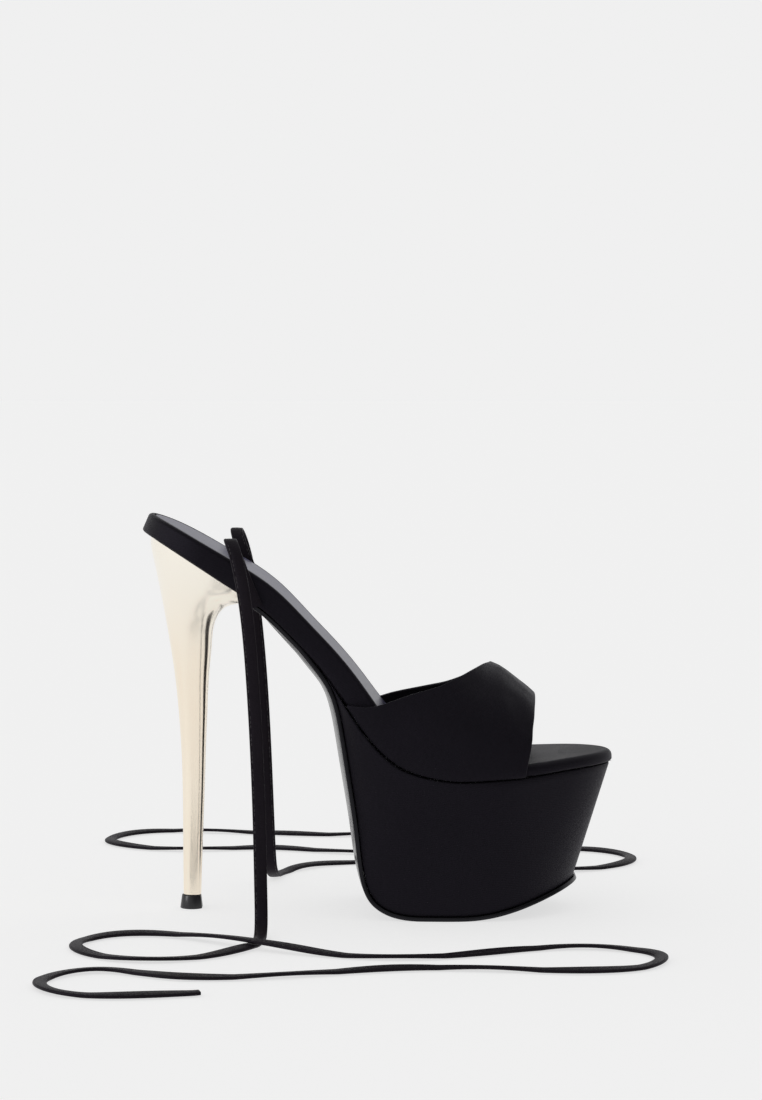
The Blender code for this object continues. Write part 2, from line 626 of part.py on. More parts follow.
def platform_mesh(path):
    """The wrapped platform between the footbed's underside and the outsole."""
    tops = [row.top for row in PLATFORM]
    foot_of = smooth_curve(tops, [row.foot for row in PLATFORM])
    ledge_of = smooth_curve(tops, [row.ledge for row in PLATFORM])
    lift = OUTSOLE_THICKNESS + CLEARANCE

    def share_under(top):
        return path.split + (1 - path.split) * min(foot_of(top), LAST_RING)

    tops = np.linspace(tops[0], LAST_RING, 1500)
    fine = [(*path.place(share_under(top)), footbed_half_widths(top)[0]) for top in tops]
    rings = []
    for part in even_turning(fine, PLATFORM_STATIONS, SOLE_LONGEST_STEP, SOLE_LARGEST_TURN):
        top = tops[0] + (tops[-1] - tops[0]) * part
        share = share_under(top)
        thick = footbed_thickness(top) + CLEARANCE
        upper_x, upper_z = below_footbed(top, thick)
        ux, uz = footbed_normal(top)
        lower_x, lower_z = path.place(share)
        lx, lz = path.normal(share)
        depth = (upper_x - lower_x) * ux + (upper_z - lower_z) * uz - lift
        if not rings and depth < PLATFORM_MIN_WEDGE:
            continue
        wide = footbed_half_widths(top)
        low = path.half_widths(share, OUTSOLE_LIP)
        ledge = ledge_of(top) * BAND_WALL
        sides = []
        for k, sign in ((0, -1), (1, 1)):
            side = []
            for across in (0.3, 0.7, 0.97):
                h = lift - path.crown(share) * (1 - across**2)
                side.append(Vector((lower_x + lx * h, sign * low[k] * across, lower_z + lz * h)))
            foot = Vector((lower_x + lx * lift, sign * low[k], lower_z + lz * lift))
            head = Vector((upper_x, sign * max(wide[k] + ledge, PLATFORM_TIP_WIDTH), upper_z))
            side += [foot, foot.lerp(head, 0.33), foot.lerp(head, 0.67), head]
            for across in (0.7, 0.3):
                h = -footbed_crown(top) * (1 - across**2)
                side.append(Vector((upper_x + ux * h, sign * wide[k] * across, upper_z + uz * h)))
            sides.append(side)
        rings.append(sides[0] + sides[1][::-1])
    return loft(rings)


class BandForm:
    """The shape of the forefoot that the band covers, as sections across the shoe."""

    def __init__(self):
        stations = np.linspace(0.40, 0.95, 160)
        seams = [below_footbed(a, footbed_thickness(a)) for a in stations]
        self.seam_x = np.array([p[0] for p in seams])
        self.seam_z = np.array([p[1] for p in seams])
        reach = BAND_FOOTBED_GAP + BAND_WALL
        self.reach = np.array([[w + reach for w in footbed_half_widths(a)] for a in stations])
        self.top_of = column(BAND_TOP, "along", "height")
        self.edges = {
            name: column(BAND_EDGES, "around", name) for name in ("rear_lateral", "rear_medial", "front")
        }

    def point(self, along, around, side):
        """Point on the band's outside. side is -1 for lateral and 1 for medial."""
        x = footbed_x(along)
        base = float(np.interp(x, self.seam_x, self.seam_z))
        half = float(np.interp(x, self.seam_x, self.reach[:, 0 if side < 0 else 1]))
        height = TOE_HEIGHT + THROAT_HEIGHT * self.top_of(along) - base
        angle = around * math.pi / 2
        power = 2 / BAND_FULLNESS
        y = RIDGE_SHIFT + (side * half - RIDGE_SHIFT) * max(math.cos(angle), 0.0) ** power
        return Vector((x, y, base + height * math.sin(angle) ** power))

    def column_points(self, around, side):
        """Points of one column of the band, from its rear edge to its front edge."""
        rear = self.edges["rear_lateral" if side < 0 else "rear_medial"](around)
        front = self.edges["front"](around)
        return [self.point(along, around, side) for along in np.linspace(rear, front, BAND_ROWS + 1)]


def band_mesh():
    """The outside of the band as an open sheet; Solidify gives it its wall."""
    form = BandForm()
    shares = spread(BAND_COLUMNS_A_SIDE, 0.0, 1.0)
    columns = [form.column_points(around, -1) for around in shares]
    columns += [form.column_points(around, 1) for around in shares[-2::-1]]
    mesh = bmesh.new()
    rows = [[mesh.verts.new(point) for point in points] for points in columns]
    for left, right in zip(rows, rows[1:]):
        for i in range(BAND_ROWS):
            mesh.faces.new((left[i], left[i + 1], right[i + 1], right[i]))
    bmesh.ops.recalc_face_normals(mesh, faces=mesh.faces)
    mesh.faces.ensure_lookup_table()
    middle = mesh.faces[len(mesh.faces) // 2]
    if middle.normal.z < 0:
        bmesh.ops.reverse_faces(mesh, faces=mesh.faces)
    return mesh


def heel_axis():
    """(x, y) of the heel's stem."""
    lateral, medial = footbed_half_widths(0.15)
    return footbed_x(HEEL_STEM_ALONG), (medial - lateral) / 2


def d_section(points_a_side, back_power, front_power):
    """Half outline of the heel from back to front, as (share from back to front, share of half width)."""
    outline = []
    for i in range(points_a_side):
        angle = math.pi * (i + 0.5) / points_a_side
        toward_front = -math.cos(angle)
        power = 2 / (front_power if toward_front > 0 else back_power)
        reach = math.copysign(abs(toward_front) ** power, toward_front)
        outline.append(((reach + 1) / 2, math.sin(angle) ** power))
    return outline


def heel_mesh():
    """The heel from its seat under the footbed down to the top piece."""
    axis_x, axis_y = heel_axis()
    outline = d_section(HEEL_POINTS_A_SIDE, 2.2, 3.4)
    half_seat = HEEL_SEAT_WIDTH / 2
    seat_depth = [
        below_footbed(a, footbed_thickness(a) + CLEARANCE) for a in np.linspace(0.0, OUTSOLE_START_ALONG, 60)
    ]
    seat_x = [p[0] for p in seat_depth]
    seat_z = [p[1] for p in seat_depth]
    back_x = seat_x[0] + HEEL_SEAT_START_ALONG * FOOTBED_LENGTH
    front_x = seat_x[-1] - HEEL_LIP_GAP
    height = float(np.interp(back_x, seat_x, seat_z))

    def ring(place, half_width):
        """One section, from the place of its middle line and its half width."""
        left, right = (
            [place(u) + Vector((0.0, sign * half_width * v, 0.0)) for u, v in outline] for sign in (-1, 1)
        )
        return left + right[::-1]

    def seat_place(u):
        """Point of the seat's middle line, from back to front."""
        x = back_x + (front_x - back_x) * u
        return Vector((x, axis_y, float(np.interp(x, seat_x, seat_z))))

    def place_on(row):
        """The middle line of one row of the heel, as a function from back to front."""
        foot = TOP_PIECE_HEIGHT + CLEARANCE
        back = Vector((axis_x - row.back * HEEL_SEAT_LENGTH, axis_y, max(row.back_height * height, foot)))
        front = Vector((axis_x + row.front * HEEL_SEAT_LENGTH, axis_y, max(row.front_height * height, foot)))
        return lambda u: back.lerp(front, u)

    rings = [ring(seat_place, half_seat)]
    for row in HEEL + [HEEL_FOOT]:
        rings.append(ring(place_on(row), row.half_width * half_seat))
    return loft(rings)


def top_piece_mesh():
    """The small plastic top piece that the heel walks on."""
    axis_x, axis_y = heel_axis()
    outline = d_section(HEEL_POINTS_A_SIDE - 3, 2.2, 4.5)
    rings = []
    for z, scale in ((0.0, 0.96), (0.0007, 1.0), (TOP_PIECE_HEIGHT, TOP_PIECE_TAPER)):
        half_length = TOP_PIECE_LENGTH / 2 * scale
        half_width = TOP_PIECE_WIDTH / 2 * scale
        sides = []
        for sign in (-1, 1):
            sides.append(
                [
                    Vector((axis_x + half_length * (2 * u - 1), axis_y + sign * half_width * v, z))
                    for u, v in outline
                ]
            )
        rings.append(sides[0] + sides[1][::-1])
    return loft(rings)


def tie_mesh(route, side):
    """A flat tie along its route, with rounded edges. side is -1 for lateral and 1 for medial."""
    exit_width = footbed_half_widths(TIE_EXIT_ALONG)[0 if side < 0 else 1]
    points = np.array([(row.x, side * (exit_width + row.out), row.z) for row in route])
    chords = np.linalg.norm(np.diff(points, axis=0), axis=1)
    shares = np.concatenate([[0.0], np.cumsum(chords)])
    shares /= shares[-1]
    curves = [smooth_curve(shares, points[:, k]) for k in range(3)]
    facing = [smooth_curve(shares, [side * row.face_out for row in route])]
    facing.append(smooth_curve(shares, [row.face_up for row in route]))
    fine = np.array([[curve(share) for curve in curves] for share in np.linspace(0.0, 1.0, 1200)])
    flat = TIE_WIDTH / 2 - TIE_THICKNESS / 2
    profile = [(-flat, -1), (-flat - TIE_THICKNESS * 0.35, 0), (-flat, 1)]
    rings = []
    for share in even_turning(fine, TIE_STATIONS, TIE_LONGEST_STEP, TIE_LARGEST_TURN):
        centre = Vector([curve(share) for curve in curves])
        centre.z = max(centre.z, TIE_THICKNESS / 2 + CLEARANCE)
        before = Vector([curve(max(share - 0.002, 0.0)) for curve in curves])
        after = Vector([curve(min(share + 0.002, 1.0)) for curve in curves])
        way = (after - before).normalized()
        face = Vector((0.0, facing[0](share), facing[1](share)))
        face = (face - way * face.dot(way)).normalized()
        across = face.cross(way)
        low = [centre + across * a + face * (h * TIE_THICKNESS / 2) for a, h in profile]
        high = [centre - across * a + face * (h * TIE_THICKNESS / 2) for a, h in profile]
        rings.append(low + high[::-1])
    return loft(rings)


def main():
    """Builds every part of the sandal in an empty scene."""
    for old in list(bpy.data.objects):
        bpy.data.objects.remove(old)
    collection = bpy.data.collections.new("lace_up_platform_sandal")
    bpy.context.scene.collection.children.link(collection)
    frame = bpy.data.objects.new("sandal_frame", None)
    collection.objects.link(frame)

    path = SolePath()
    add_part("footbed", footbed_mesh(), SATIN, collection, frame)
    add_part("sock_liner", sock_mesh(), SOCK_LEATHER, collection, frame)
    add_part("outsole", outsole_mesh(path), SOLE_RUBBER, collection, frame)
    add_part("platform", platform_mesh(path), SATIN, collection, frame)
    band = add_part("upper_band", band_mesh(), SATIN, collection, frame)
    wall = band.modifiers.new("wall", "SOLIDIFY")
    wall.thickness = BAND_WALL
    wall.offset = -1.0
    wall.use_even_offset = True
    add_part("heel", heel_mesh(), PLATED_GOLD, collection, frame)
    add_part("top_piece", top_piece_mesh(), SOLE_RUBBER, collection, frame)
    add_part("tie_lateral", tie_mesh(TIE_LATERAL, -1), SATIN, collection, frame)
    add_part("tie_medial", tie_mesh(TIE_MEDIAL, 1), SATIN, collection, frame)


main()
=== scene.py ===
"""Finished look of a lace-up platform sandal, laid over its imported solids.

The toe points to +X, the outer side of the foot is -Y and the floor is Z = 0. All sizes are in metres.
The double curves of a shoe come from no edit operator, so its wraps start as a grid primitive whose points
are laid on the last's own curves. They are then welded, walled and bevelled as by hand.
"""

import json
import logging
import math
from dataclasses import dataclass, field
from enum import Enum
from typing import Callable, NamedTuple, Sequence

import bmesh
import bpy
import numpy as np
from mathutils import Matrix, Vector
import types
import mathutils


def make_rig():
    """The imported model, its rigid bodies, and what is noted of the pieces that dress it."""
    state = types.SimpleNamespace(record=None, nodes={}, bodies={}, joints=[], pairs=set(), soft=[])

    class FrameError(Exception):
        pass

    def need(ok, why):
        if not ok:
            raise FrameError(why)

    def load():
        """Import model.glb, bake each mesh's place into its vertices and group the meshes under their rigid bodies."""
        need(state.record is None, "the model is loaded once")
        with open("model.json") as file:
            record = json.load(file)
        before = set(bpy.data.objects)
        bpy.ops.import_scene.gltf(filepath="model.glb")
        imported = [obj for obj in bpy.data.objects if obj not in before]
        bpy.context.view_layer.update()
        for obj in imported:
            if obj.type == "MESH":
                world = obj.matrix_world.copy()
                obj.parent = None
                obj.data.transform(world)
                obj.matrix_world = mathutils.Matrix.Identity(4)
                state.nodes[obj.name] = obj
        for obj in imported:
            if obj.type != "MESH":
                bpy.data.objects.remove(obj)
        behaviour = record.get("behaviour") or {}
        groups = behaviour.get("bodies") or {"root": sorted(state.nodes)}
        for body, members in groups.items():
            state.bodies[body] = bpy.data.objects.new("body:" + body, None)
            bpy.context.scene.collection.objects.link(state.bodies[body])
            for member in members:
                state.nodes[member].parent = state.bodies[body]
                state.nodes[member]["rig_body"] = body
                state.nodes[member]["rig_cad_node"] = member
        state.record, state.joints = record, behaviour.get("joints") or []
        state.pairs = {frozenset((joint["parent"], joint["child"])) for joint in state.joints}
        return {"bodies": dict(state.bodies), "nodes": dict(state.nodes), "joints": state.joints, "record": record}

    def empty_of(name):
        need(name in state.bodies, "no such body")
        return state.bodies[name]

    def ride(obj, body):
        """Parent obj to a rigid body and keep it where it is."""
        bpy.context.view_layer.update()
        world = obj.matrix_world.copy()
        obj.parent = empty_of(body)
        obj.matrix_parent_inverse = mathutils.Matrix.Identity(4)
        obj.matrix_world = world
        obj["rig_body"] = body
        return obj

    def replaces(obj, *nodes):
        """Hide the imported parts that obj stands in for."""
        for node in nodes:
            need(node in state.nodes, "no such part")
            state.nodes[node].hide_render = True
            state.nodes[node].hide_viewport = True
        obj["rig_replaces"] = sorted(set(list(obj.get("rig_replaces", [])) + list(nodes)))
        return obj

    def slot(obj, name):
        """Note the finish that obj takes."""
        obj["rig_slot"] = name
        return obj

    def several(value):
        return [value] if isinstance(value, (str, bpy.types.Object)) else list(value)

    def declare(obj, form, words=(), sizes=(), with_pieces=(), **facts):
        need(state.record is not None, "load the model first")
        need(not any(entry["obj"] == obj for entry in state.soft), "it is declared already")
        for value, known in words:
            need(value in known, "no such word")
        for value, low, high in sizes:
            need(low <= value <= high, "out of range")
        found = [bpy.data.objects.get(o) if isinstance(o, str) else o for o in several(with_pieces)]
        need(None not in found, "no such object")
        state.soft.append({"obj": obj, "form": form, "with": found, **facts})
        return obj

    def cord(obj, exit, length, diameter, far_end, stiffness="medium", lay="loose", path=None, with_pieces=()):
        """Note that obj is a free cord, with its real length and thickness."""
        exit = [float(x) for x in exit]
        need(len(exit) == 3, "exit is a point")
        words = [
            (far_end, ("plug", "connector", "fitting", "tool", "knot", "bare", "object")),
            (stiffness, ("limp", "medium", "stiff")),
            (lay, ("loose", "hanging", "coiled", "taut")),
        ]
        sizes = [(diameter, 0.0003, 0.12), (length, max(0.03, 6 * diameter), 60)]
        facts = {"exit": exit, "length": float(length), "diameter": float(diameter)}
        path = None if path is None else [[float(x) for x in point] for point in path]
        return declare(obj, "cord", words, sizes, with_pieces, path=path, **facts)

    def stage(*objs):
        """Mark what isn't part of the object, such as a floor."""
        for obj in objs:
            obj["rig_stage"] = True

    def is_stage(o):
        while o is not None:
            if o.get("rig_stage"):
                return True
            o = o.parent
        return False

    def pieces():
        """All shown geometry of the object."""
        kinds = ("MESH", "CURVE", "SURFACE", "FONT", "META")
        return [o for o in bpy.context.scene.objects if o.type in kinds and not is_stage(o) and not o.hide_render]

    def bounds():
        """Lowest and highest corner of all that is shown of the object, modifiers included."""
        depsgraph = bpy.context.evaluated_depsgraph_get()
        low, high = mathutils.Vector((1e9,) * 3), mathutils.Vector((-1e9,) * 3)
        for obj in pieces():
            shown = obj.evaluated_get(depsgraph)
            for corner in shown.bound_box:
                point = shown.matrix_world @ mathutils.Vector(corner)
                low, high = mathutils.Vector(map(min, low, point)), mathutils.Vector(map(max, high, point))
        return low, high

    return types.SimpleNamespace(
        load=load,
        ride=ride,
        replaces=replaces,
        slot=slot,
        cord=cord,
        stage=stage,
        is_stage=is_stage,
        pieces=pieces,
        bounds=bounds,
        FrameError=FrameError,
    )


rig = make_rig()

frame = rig.load()
CAD_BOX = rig.bounds()

LOG = logging.getLogger("sandal")
BODY = "root"
# Gap between pieces that touch, the distance under which two points of a wrap are one, and the facets
# of a rounded edge
CLEARANCE = 0.0003
WELD = 2e-6
EDGE_FACETS = 3

Pair = tuple[float, float]
Point = tuple[float, float, float]
Colour = tuple[float, float, float]
Piece = bpy.types.Object
Material = bpy.types.Material
Socket = bpy.types.NodeSocket


class Slot(Enum):
    """Material slots of the record."""

    SATIN = "satin"
    SOCK = "sock"
    SOLE = "sole"
    PLATING = "plating"


class Side(Enum):
    """The two sides of the foot, with their sign along Y."""

    LATERAL = -1
    MEDIAL = 1

    @property
    def column(self) -> int:
        """Place of this side in a (lateral, medial) pair."""
        return 0 if self is Side.LATERAL else 1


# Curves and outlines


class Spline:
    """A natural cubic spline through values at rising knots."""

    def __init__(self, knots: Sequence[float], values: Sequence[float]) -> None:
        """Solves the spline's bends.

        Args:
            knots: rising places of the values.
            values: one number or one row of numbers for each knot.
        """
        self.knots = np.asarray(knots, float)
        self.values = np.asarray(values, float)
        self.step = np.diff(self.knots)
        flat = self.values.reshape(len(self.knots), -1)
        slope = np.diff(flat, axis=0) / self.step[:, None]
        matrix = np.eye(len(self.knots))
        right = np.zeros_like(flat)
        for i in range(1, len(self.knots) - 1):
            matrix[i, i - 1 : i + 2] = self.step[i - 1], 2 * (self.step[i - 1] + self.step[i]), self.step[i]
            right[i] = 6 * (slope[i] - slope[i - 1])
        self.bends = np.linalg.solve(matrix, right).reshape(self.values.shape)

    def __call__(self, place: float) -> float | np.ndarray:
        """Value of the curve, held at its ends.

        Args:
            place: where on the knots' scale.

        Returns:
            A number, or a row of numbers where the values are rows.
        """
        place = min(max(place, self.knots[0]), self.knots[-1])
        i = min(int(np.searchsorted(self.knots, place, side="right")) - 1, len(self.step) - 1)
        near = (self.knots[i + 1] - place) / self.step[i]
        far = 1 - near
        curve = (near**3 - near) * self.bends[i] + (far**3 - far) * self.bends[i + 1]
        return near * self.values[i] + far * self.values[i + 1] + curve * self.step[i] ** 2 / 6


def column(table: Sequence[NamedTuple], key: str, name: str) -> Spline:
    """Smooth curve of one column of a table over its key column.

    Args:
        table: rows with named fields.
        key: the rising field.
        name: the field that is read.

    Returns:
        The spline of that field.
    """
    return Spline([getattr(row, key) for row in table], [getattr(row, name) for row in table])


def round_end(distance: float, radius: float) -> float:
    """Share of the full width that is left near a round end.

    Args:
        distance: how far from the end.
        radius: the end's radius.

    Returns:
        A share from 0 to 1.
    """
    reach = min(max(distance / radius, 0.0), 1.0)
    return math.sqrt(max(1 - (1 - reach) ** 2, 0.0))


def blend(low: float, high: float, place: float) -> float:
    """Smooth step from 0 at low to 1 at high.

    Args:
        low: where the step starts.
        high: where it ends.
        place: where it is read.

    Returns:
        A share from 0 to 1.
    """
    share = min(max((place - low) / (high - low), 0.0), 1.0)
    return share * share * (3 - 2 * share)


def eased(count: int, ease_low: bool = True, ease_high: bool = True) -> np.ndarray:
    """Shares from 0 to 1 that lie closer together at the eased ends.

    Args:
        count: how many shares.
        ease_low: whether the start is eased.
        ease_high: whether the end is eased.

    Returns:
        The rising shares.
    """
    low = -math.pi / 2 if ease_low else 0.0
    high = math.pi / 2 if ease_high else 0.0
    wave = np.sin(np.linspace(low, high, count))
    return (wave - wave[0]) / (wave[-1] - wave[0])


def quarter(count: int) -> list[Pair]:
    """Points of a quarter turn, as (1 - sine, 1 - cosine) of its angle."""
    return [(1 - math.sin(angle), 1 - math.cos(angle)) for angle in np.linspace(0.0, math.pi / 2, count)]


def lengths_along(points: np.ndarray, axis: int) -> np.ndarray:
    """Running length over a grid of points.

    Args:
        points: an array of shape (columns, rows, 3).
        axis: 0 to run over the columns, 1 to run over the rows.

    Returns:
        The length at each point, of shape (columns, rows).
    """
    steps = np.linalg.norm(np.diff(points, axis=axis), axis=2)
    first = np.zeros_like(steps.take([0], axis=axis))
    return np.cumsum(np.concatenate([first, steps], axis=axis), axis=axis)


def running(steps: np.ndarray) -> np.ndarray:
    """Running sum of some steps, which starts at 0."""
    return np.concatenate([[0.0], np.cumsum(steps)])


def cloth_over_rings(points: np.ndarray) -> np.ndarray:
    """Flat cloth of a piece that is laid ring by ring.

    Args:
        points: an array of shape (rings, points of a ring, 3).

    Returns:
        Where each point lies on the cloth, across it and along it.
    """
    return np.stack([lengths_along(points, 1), lengths_along(points, 0)], axis=2)


def cloth_round_outline(points: np.ndarray, row: int) -> np.ndarray:
    """Flat cloth of a piece that is wrapped round an outline.

    Args:
        points: an array of shape (columns, rows, 3).
        row: the row round which the cloth's length is measured.

    Returns:
        Where each point lies on the cloth, round it and down it.
    """
    around = lengths_along(points, 0)[:, [row] * points.shape[1]]
    return np.stack([around, lengths_along(points, 1)], axis=2)


def square_to(start: Pair, end: Pair) -> Pair:
    """Unit vector square to a short run, on its left.

    Args:
        start: (x, z) where the run starts.
        end: (x, z) where it ends.

    Returns:
        The vector's (x, z).
    """
    run = math.hypot(end[0] - start[0], end[1] - start[1])
    return -(end[1] - start[1]) / run, (end[0] - start[0]) / run


# The last


class FootbedSection(NamedTuple):
    """along: share of the length. rise: share of the drop. The others are shares of the named sizes."""

    along: float
    rise: float
    lateral: float
    medial: float
    thickness: float
    crown: float


FOOTBED = (
    FootbedSection(0.000, 1.000, 0.745, 0.715, 0.80, 0.00),
    FootbedSection(0.046, 0.961, 0.755, 0.720, 0.82, 0.00),
    FootbedSection(0.104, 0.903, 0.760, 0.720, 0.87, 0.00),
    FootbedSection(0.172, 0.829, 0.760, 0.715, 0.95, 0.00),
    FootbedSection(0.226, 0.768, 0.755, 0.705, 1.00, 0.05),
    FootbedSection(0.284, 0.685, 0.715, 0.660, 0.94, 0.50),
    FootbedSection(0.347, 0.563, 0.675, 0.610, 0.88, 0.93),
    FootbedSection(0.406, 0.445, 0.690, 0.620, 0.89, 1.00),
    FootbedSection(0.455, 0.332, 0.750, 0.685, 0.97, 0.75),
    FootbedSection(0.503, 0.208, 0.830, 0.785, 0.96, 0.27),
    FootbedSection(0.552, 0.104, 0.900, 0.880, 0.87, 0.00),
    FootbedSection(0.600, 0.043, 0.955, 0.950, 0.76, 0.00),
    FootbedSection(0.649, 0.014, 0.990, 0.990, 0.66, 0.00),
    FootbedSection(0.708, 0.002, 1.000, 1.005, 0.54, 0.00),
    FootbedSection(0.776, 0.000, 0.970, 0.995, 0.44, 0.00),
    FootbedSection(0.829, 0.003, 0.930, 0.980, 0.39, 0.00),
    FootbedSection(0.882, 0.012, 0.875, 0.925, 0.37, 0.00),
    FootbedSection(0.934, 0.020, 0.835, 0.890, 0.37, 0.00),
    FootbedSection(1.000, 0.027, 0.790, 0.850, 0.37, 0.00),
)


@dataclass
class Last:
    """The footbed's line and outline, which every other piece is fitted to."""

    length: float = 0.2055
    heel_end_x: float = -0.1011
    seat_height: float = 0.1775
    toe_height: float = 0.0679
    ball_width: float = 0.0755
    board: float = 0.0110
    heel_radius: float = 0.028
    toe_radius: float = 0.050
    shank_crown: float = 0.0030
    crown_blend: float = 0.060
    breast_along: float = 0.252
    slope_step: float = 0.002
    curves: dict[str, Spline] = field(init=False)

    def __post_init__(self) -> None:
        """Draws the curve of each column of the table."""
        names = ("rise", "lateral", "medial", "thickness", "crown")
        self.curves = {name: column(FOOTBED, "along", name) for name in names}

    def x(self, along: float) -> float:
        """Place along X of a station."""
        return self.heel_end_x + along * self.length

    def station(self, distance: float) -> float:
        """Station at a distance from the heel's end, held to the footbed."""
        return min(max(distance / self.length, 0.0), 1.0)

    def top(self, along: float) -> Pair:
        """(x, z) of the footbed's top on its middle line."""
        drop = self.seat_height - self.toe_height
        return self.x(along), self.toe_height + drop * float(self.curves["rise"](along))

    def normal(self, along: float) -> Pair:
        """Unit vector (x, z) straight up out of the footbed."""
        before, after = max(along - self.slope_step, 0.0), min(along + self.slope_step, 1.0)
        return square_to(self.top(before), self.top(after))

    def thickness(self, along: float) -> float:
        """Thickness of the wrapped board at its edge."""
        return self.board * float(self.curves["thickness"](along))

    def crown(self, along: float) -> float:
        """How far the underside bulges on the middle line."""
        grown = min(max((along - self.breast_along) / self.crown_blend, 0.0), 1.0)
        return self.shank_crown * max(float(self.curves["crown"](along)), 0.0) * grown

    def half_widths(self, along: float, inset: float = 0.0) -> Pair:
        """Half widths of the outline.

        Args:
            along: the station.
            inset: how far the outline is moved in.

        Returns:
            (lateral, medial) half widths.
        """
        from_heel = along * self.length - inset
        from_toe = (1 - along) * self.length - inset
        ends = round_end(from_heel, self.heel_radius) * round_end(from_toe, self.toe_radius)
        half = self.ball_width / 2
        lateral = (float(self.curves["lateral"](along)) * half - inset) * ends
        medial = (float(self.curves["medial"](along)) * half - inset) * ends
        return lateral, medial

    def place(self, along: float, y: float, height: float) -> Point:
        """Point over or under the footbed's top.

        Args:
            along: the station.
            y: distance from the middle line.
            height: distance out of the top, square to it.

        Returns:
            The point as (x, y, z).
        """
        x, z = self.top(along)
        nx, nz = self.normal(along)
        return x + nx * height, y, z + nz * height


@dataclass
class Outline:
    """An outline on the footbed's top, as stations and distances from the middle line."""

    last: Last
    stations: np.ndarray
    widths: Callable[[float], Pair]
    closed: bool = True
    plan: np.ndarray = field(init=False)
    inward: np.ndarray = field(init=False)

    def __post_init__(self) -> None:
        """Runs along the lateral side to the toe and back along the medial one."""
        there = [(a * self.last.length, -self.widths(a)[0]) for a in self.stations]
        back = [(a * self.last.length, self.widths(a)[1]) for a in self.stations[-2:0:-1]]
        self.plan = np.array(there + back)
        way = np.roll(self.plan, -1, axis=0) - np.roll(self.plan, 1, axis=0)
        way /= np.linalg.norm(way, axis=1)[:, None]
        self.inward = np.stack([-way[:, 1], way[:, 0]], axis=1)
        if not self.closed:
            self.open_start()

    def open_start(self) -> None:
        """Opens the outline at its first station, where each end takes the direction beside it."""
        start = self.stations[0]
        medial_end = (start * self.last.length, self.widths(start)[1])
        self.plan = np.vstack([self.plan, [medial_end]])
        lateral_way, medial_way = self.inward[1], self.inward[-2]
        self.inward = np.vstack([[lateral_way], self.inward[1:-1], [medial_way], [medial_way]])

    def spine(self, index: int, stop: float) -> np.ndarray:
        """Point of the middle line that an outline point leads in to.

        Args:
            index: which outline point.
            stop: how far the middle line stops short of both ends.

        Returns:
            The point in the plan, as (distance from the heel's end, y).
        """
        first = self.stations[0] * self.last.length + stop
        final = self.stations[-1] * self.last.length - stop
        return np.array([min(max(self.plan[index, 0], first), final), 0.0])

    def stand(self, column: Callable[["Outline", int], Sequence[Point | np.ndarray]]) -> np.ndarray:
        """Stands a column of points at each place, and the first again where the outline is closed.

        Args:
            column: gives the points at one outline point.

        Returns:
            The points, of shape (columns, rows, 3).
        """
        places = [*range(len(self.plan)), *([0] if self.closed else [])]
        return np.array([column(self, index) for index in places])


# The outsole's line


class SoleSection(NamedTuple):
    """ahead: share of the footbed's length in front of the split. height: share of the split's height."""

    ahead: float
    height: float
    lateral: float
    medial: float
    crown: float


SOLE = (
    SoleSection(0.0205, 0.9589, 0.715, 0.650, 0.95),
    SoleSection(0.0275, 0.9084, 0.730, 0.675, 0.95),
    SoleSection(0.0340, 0.7892, 0.750, 0.710, 0.92),
    SoleSection(0.0435, 0.6707, 0.770, 0.740, 0.90),
    SoleSection(0.0565, 0.5141, 0.795, 0.775, 0.85),
    SoleSection(0.0675, 0.3537, 0.815, 0.800, 0.75),
    SoleSection(0.0785, 0.1867, 0.835, 0.825, 0.55),
    SoleSection(0.1015, 0.0734, 0.865, 0.860, 0.28),
    SoleSection(0.1465, 0.0170, 0.900, 0.900, 0.05),
    SoleSection(0.2045, 0.0000, 0.925, 0.930, 0.00),
    SoleSection(0.2645, 0.0000, 0.940, 0.955, 0.00),
    SoleSection(0.3245, 0.0036, 0.935, 0.960, 0.00),
    SoleSection(0.3945, 0.0288, 0.910, 0.950, 0.00),
    SoleSection(0.4695, 0.0747, 0.870, 0.925, 0.00),
    SoleSection(0.5495, 0.1310, 0.810, 0.870, 0.00),
)


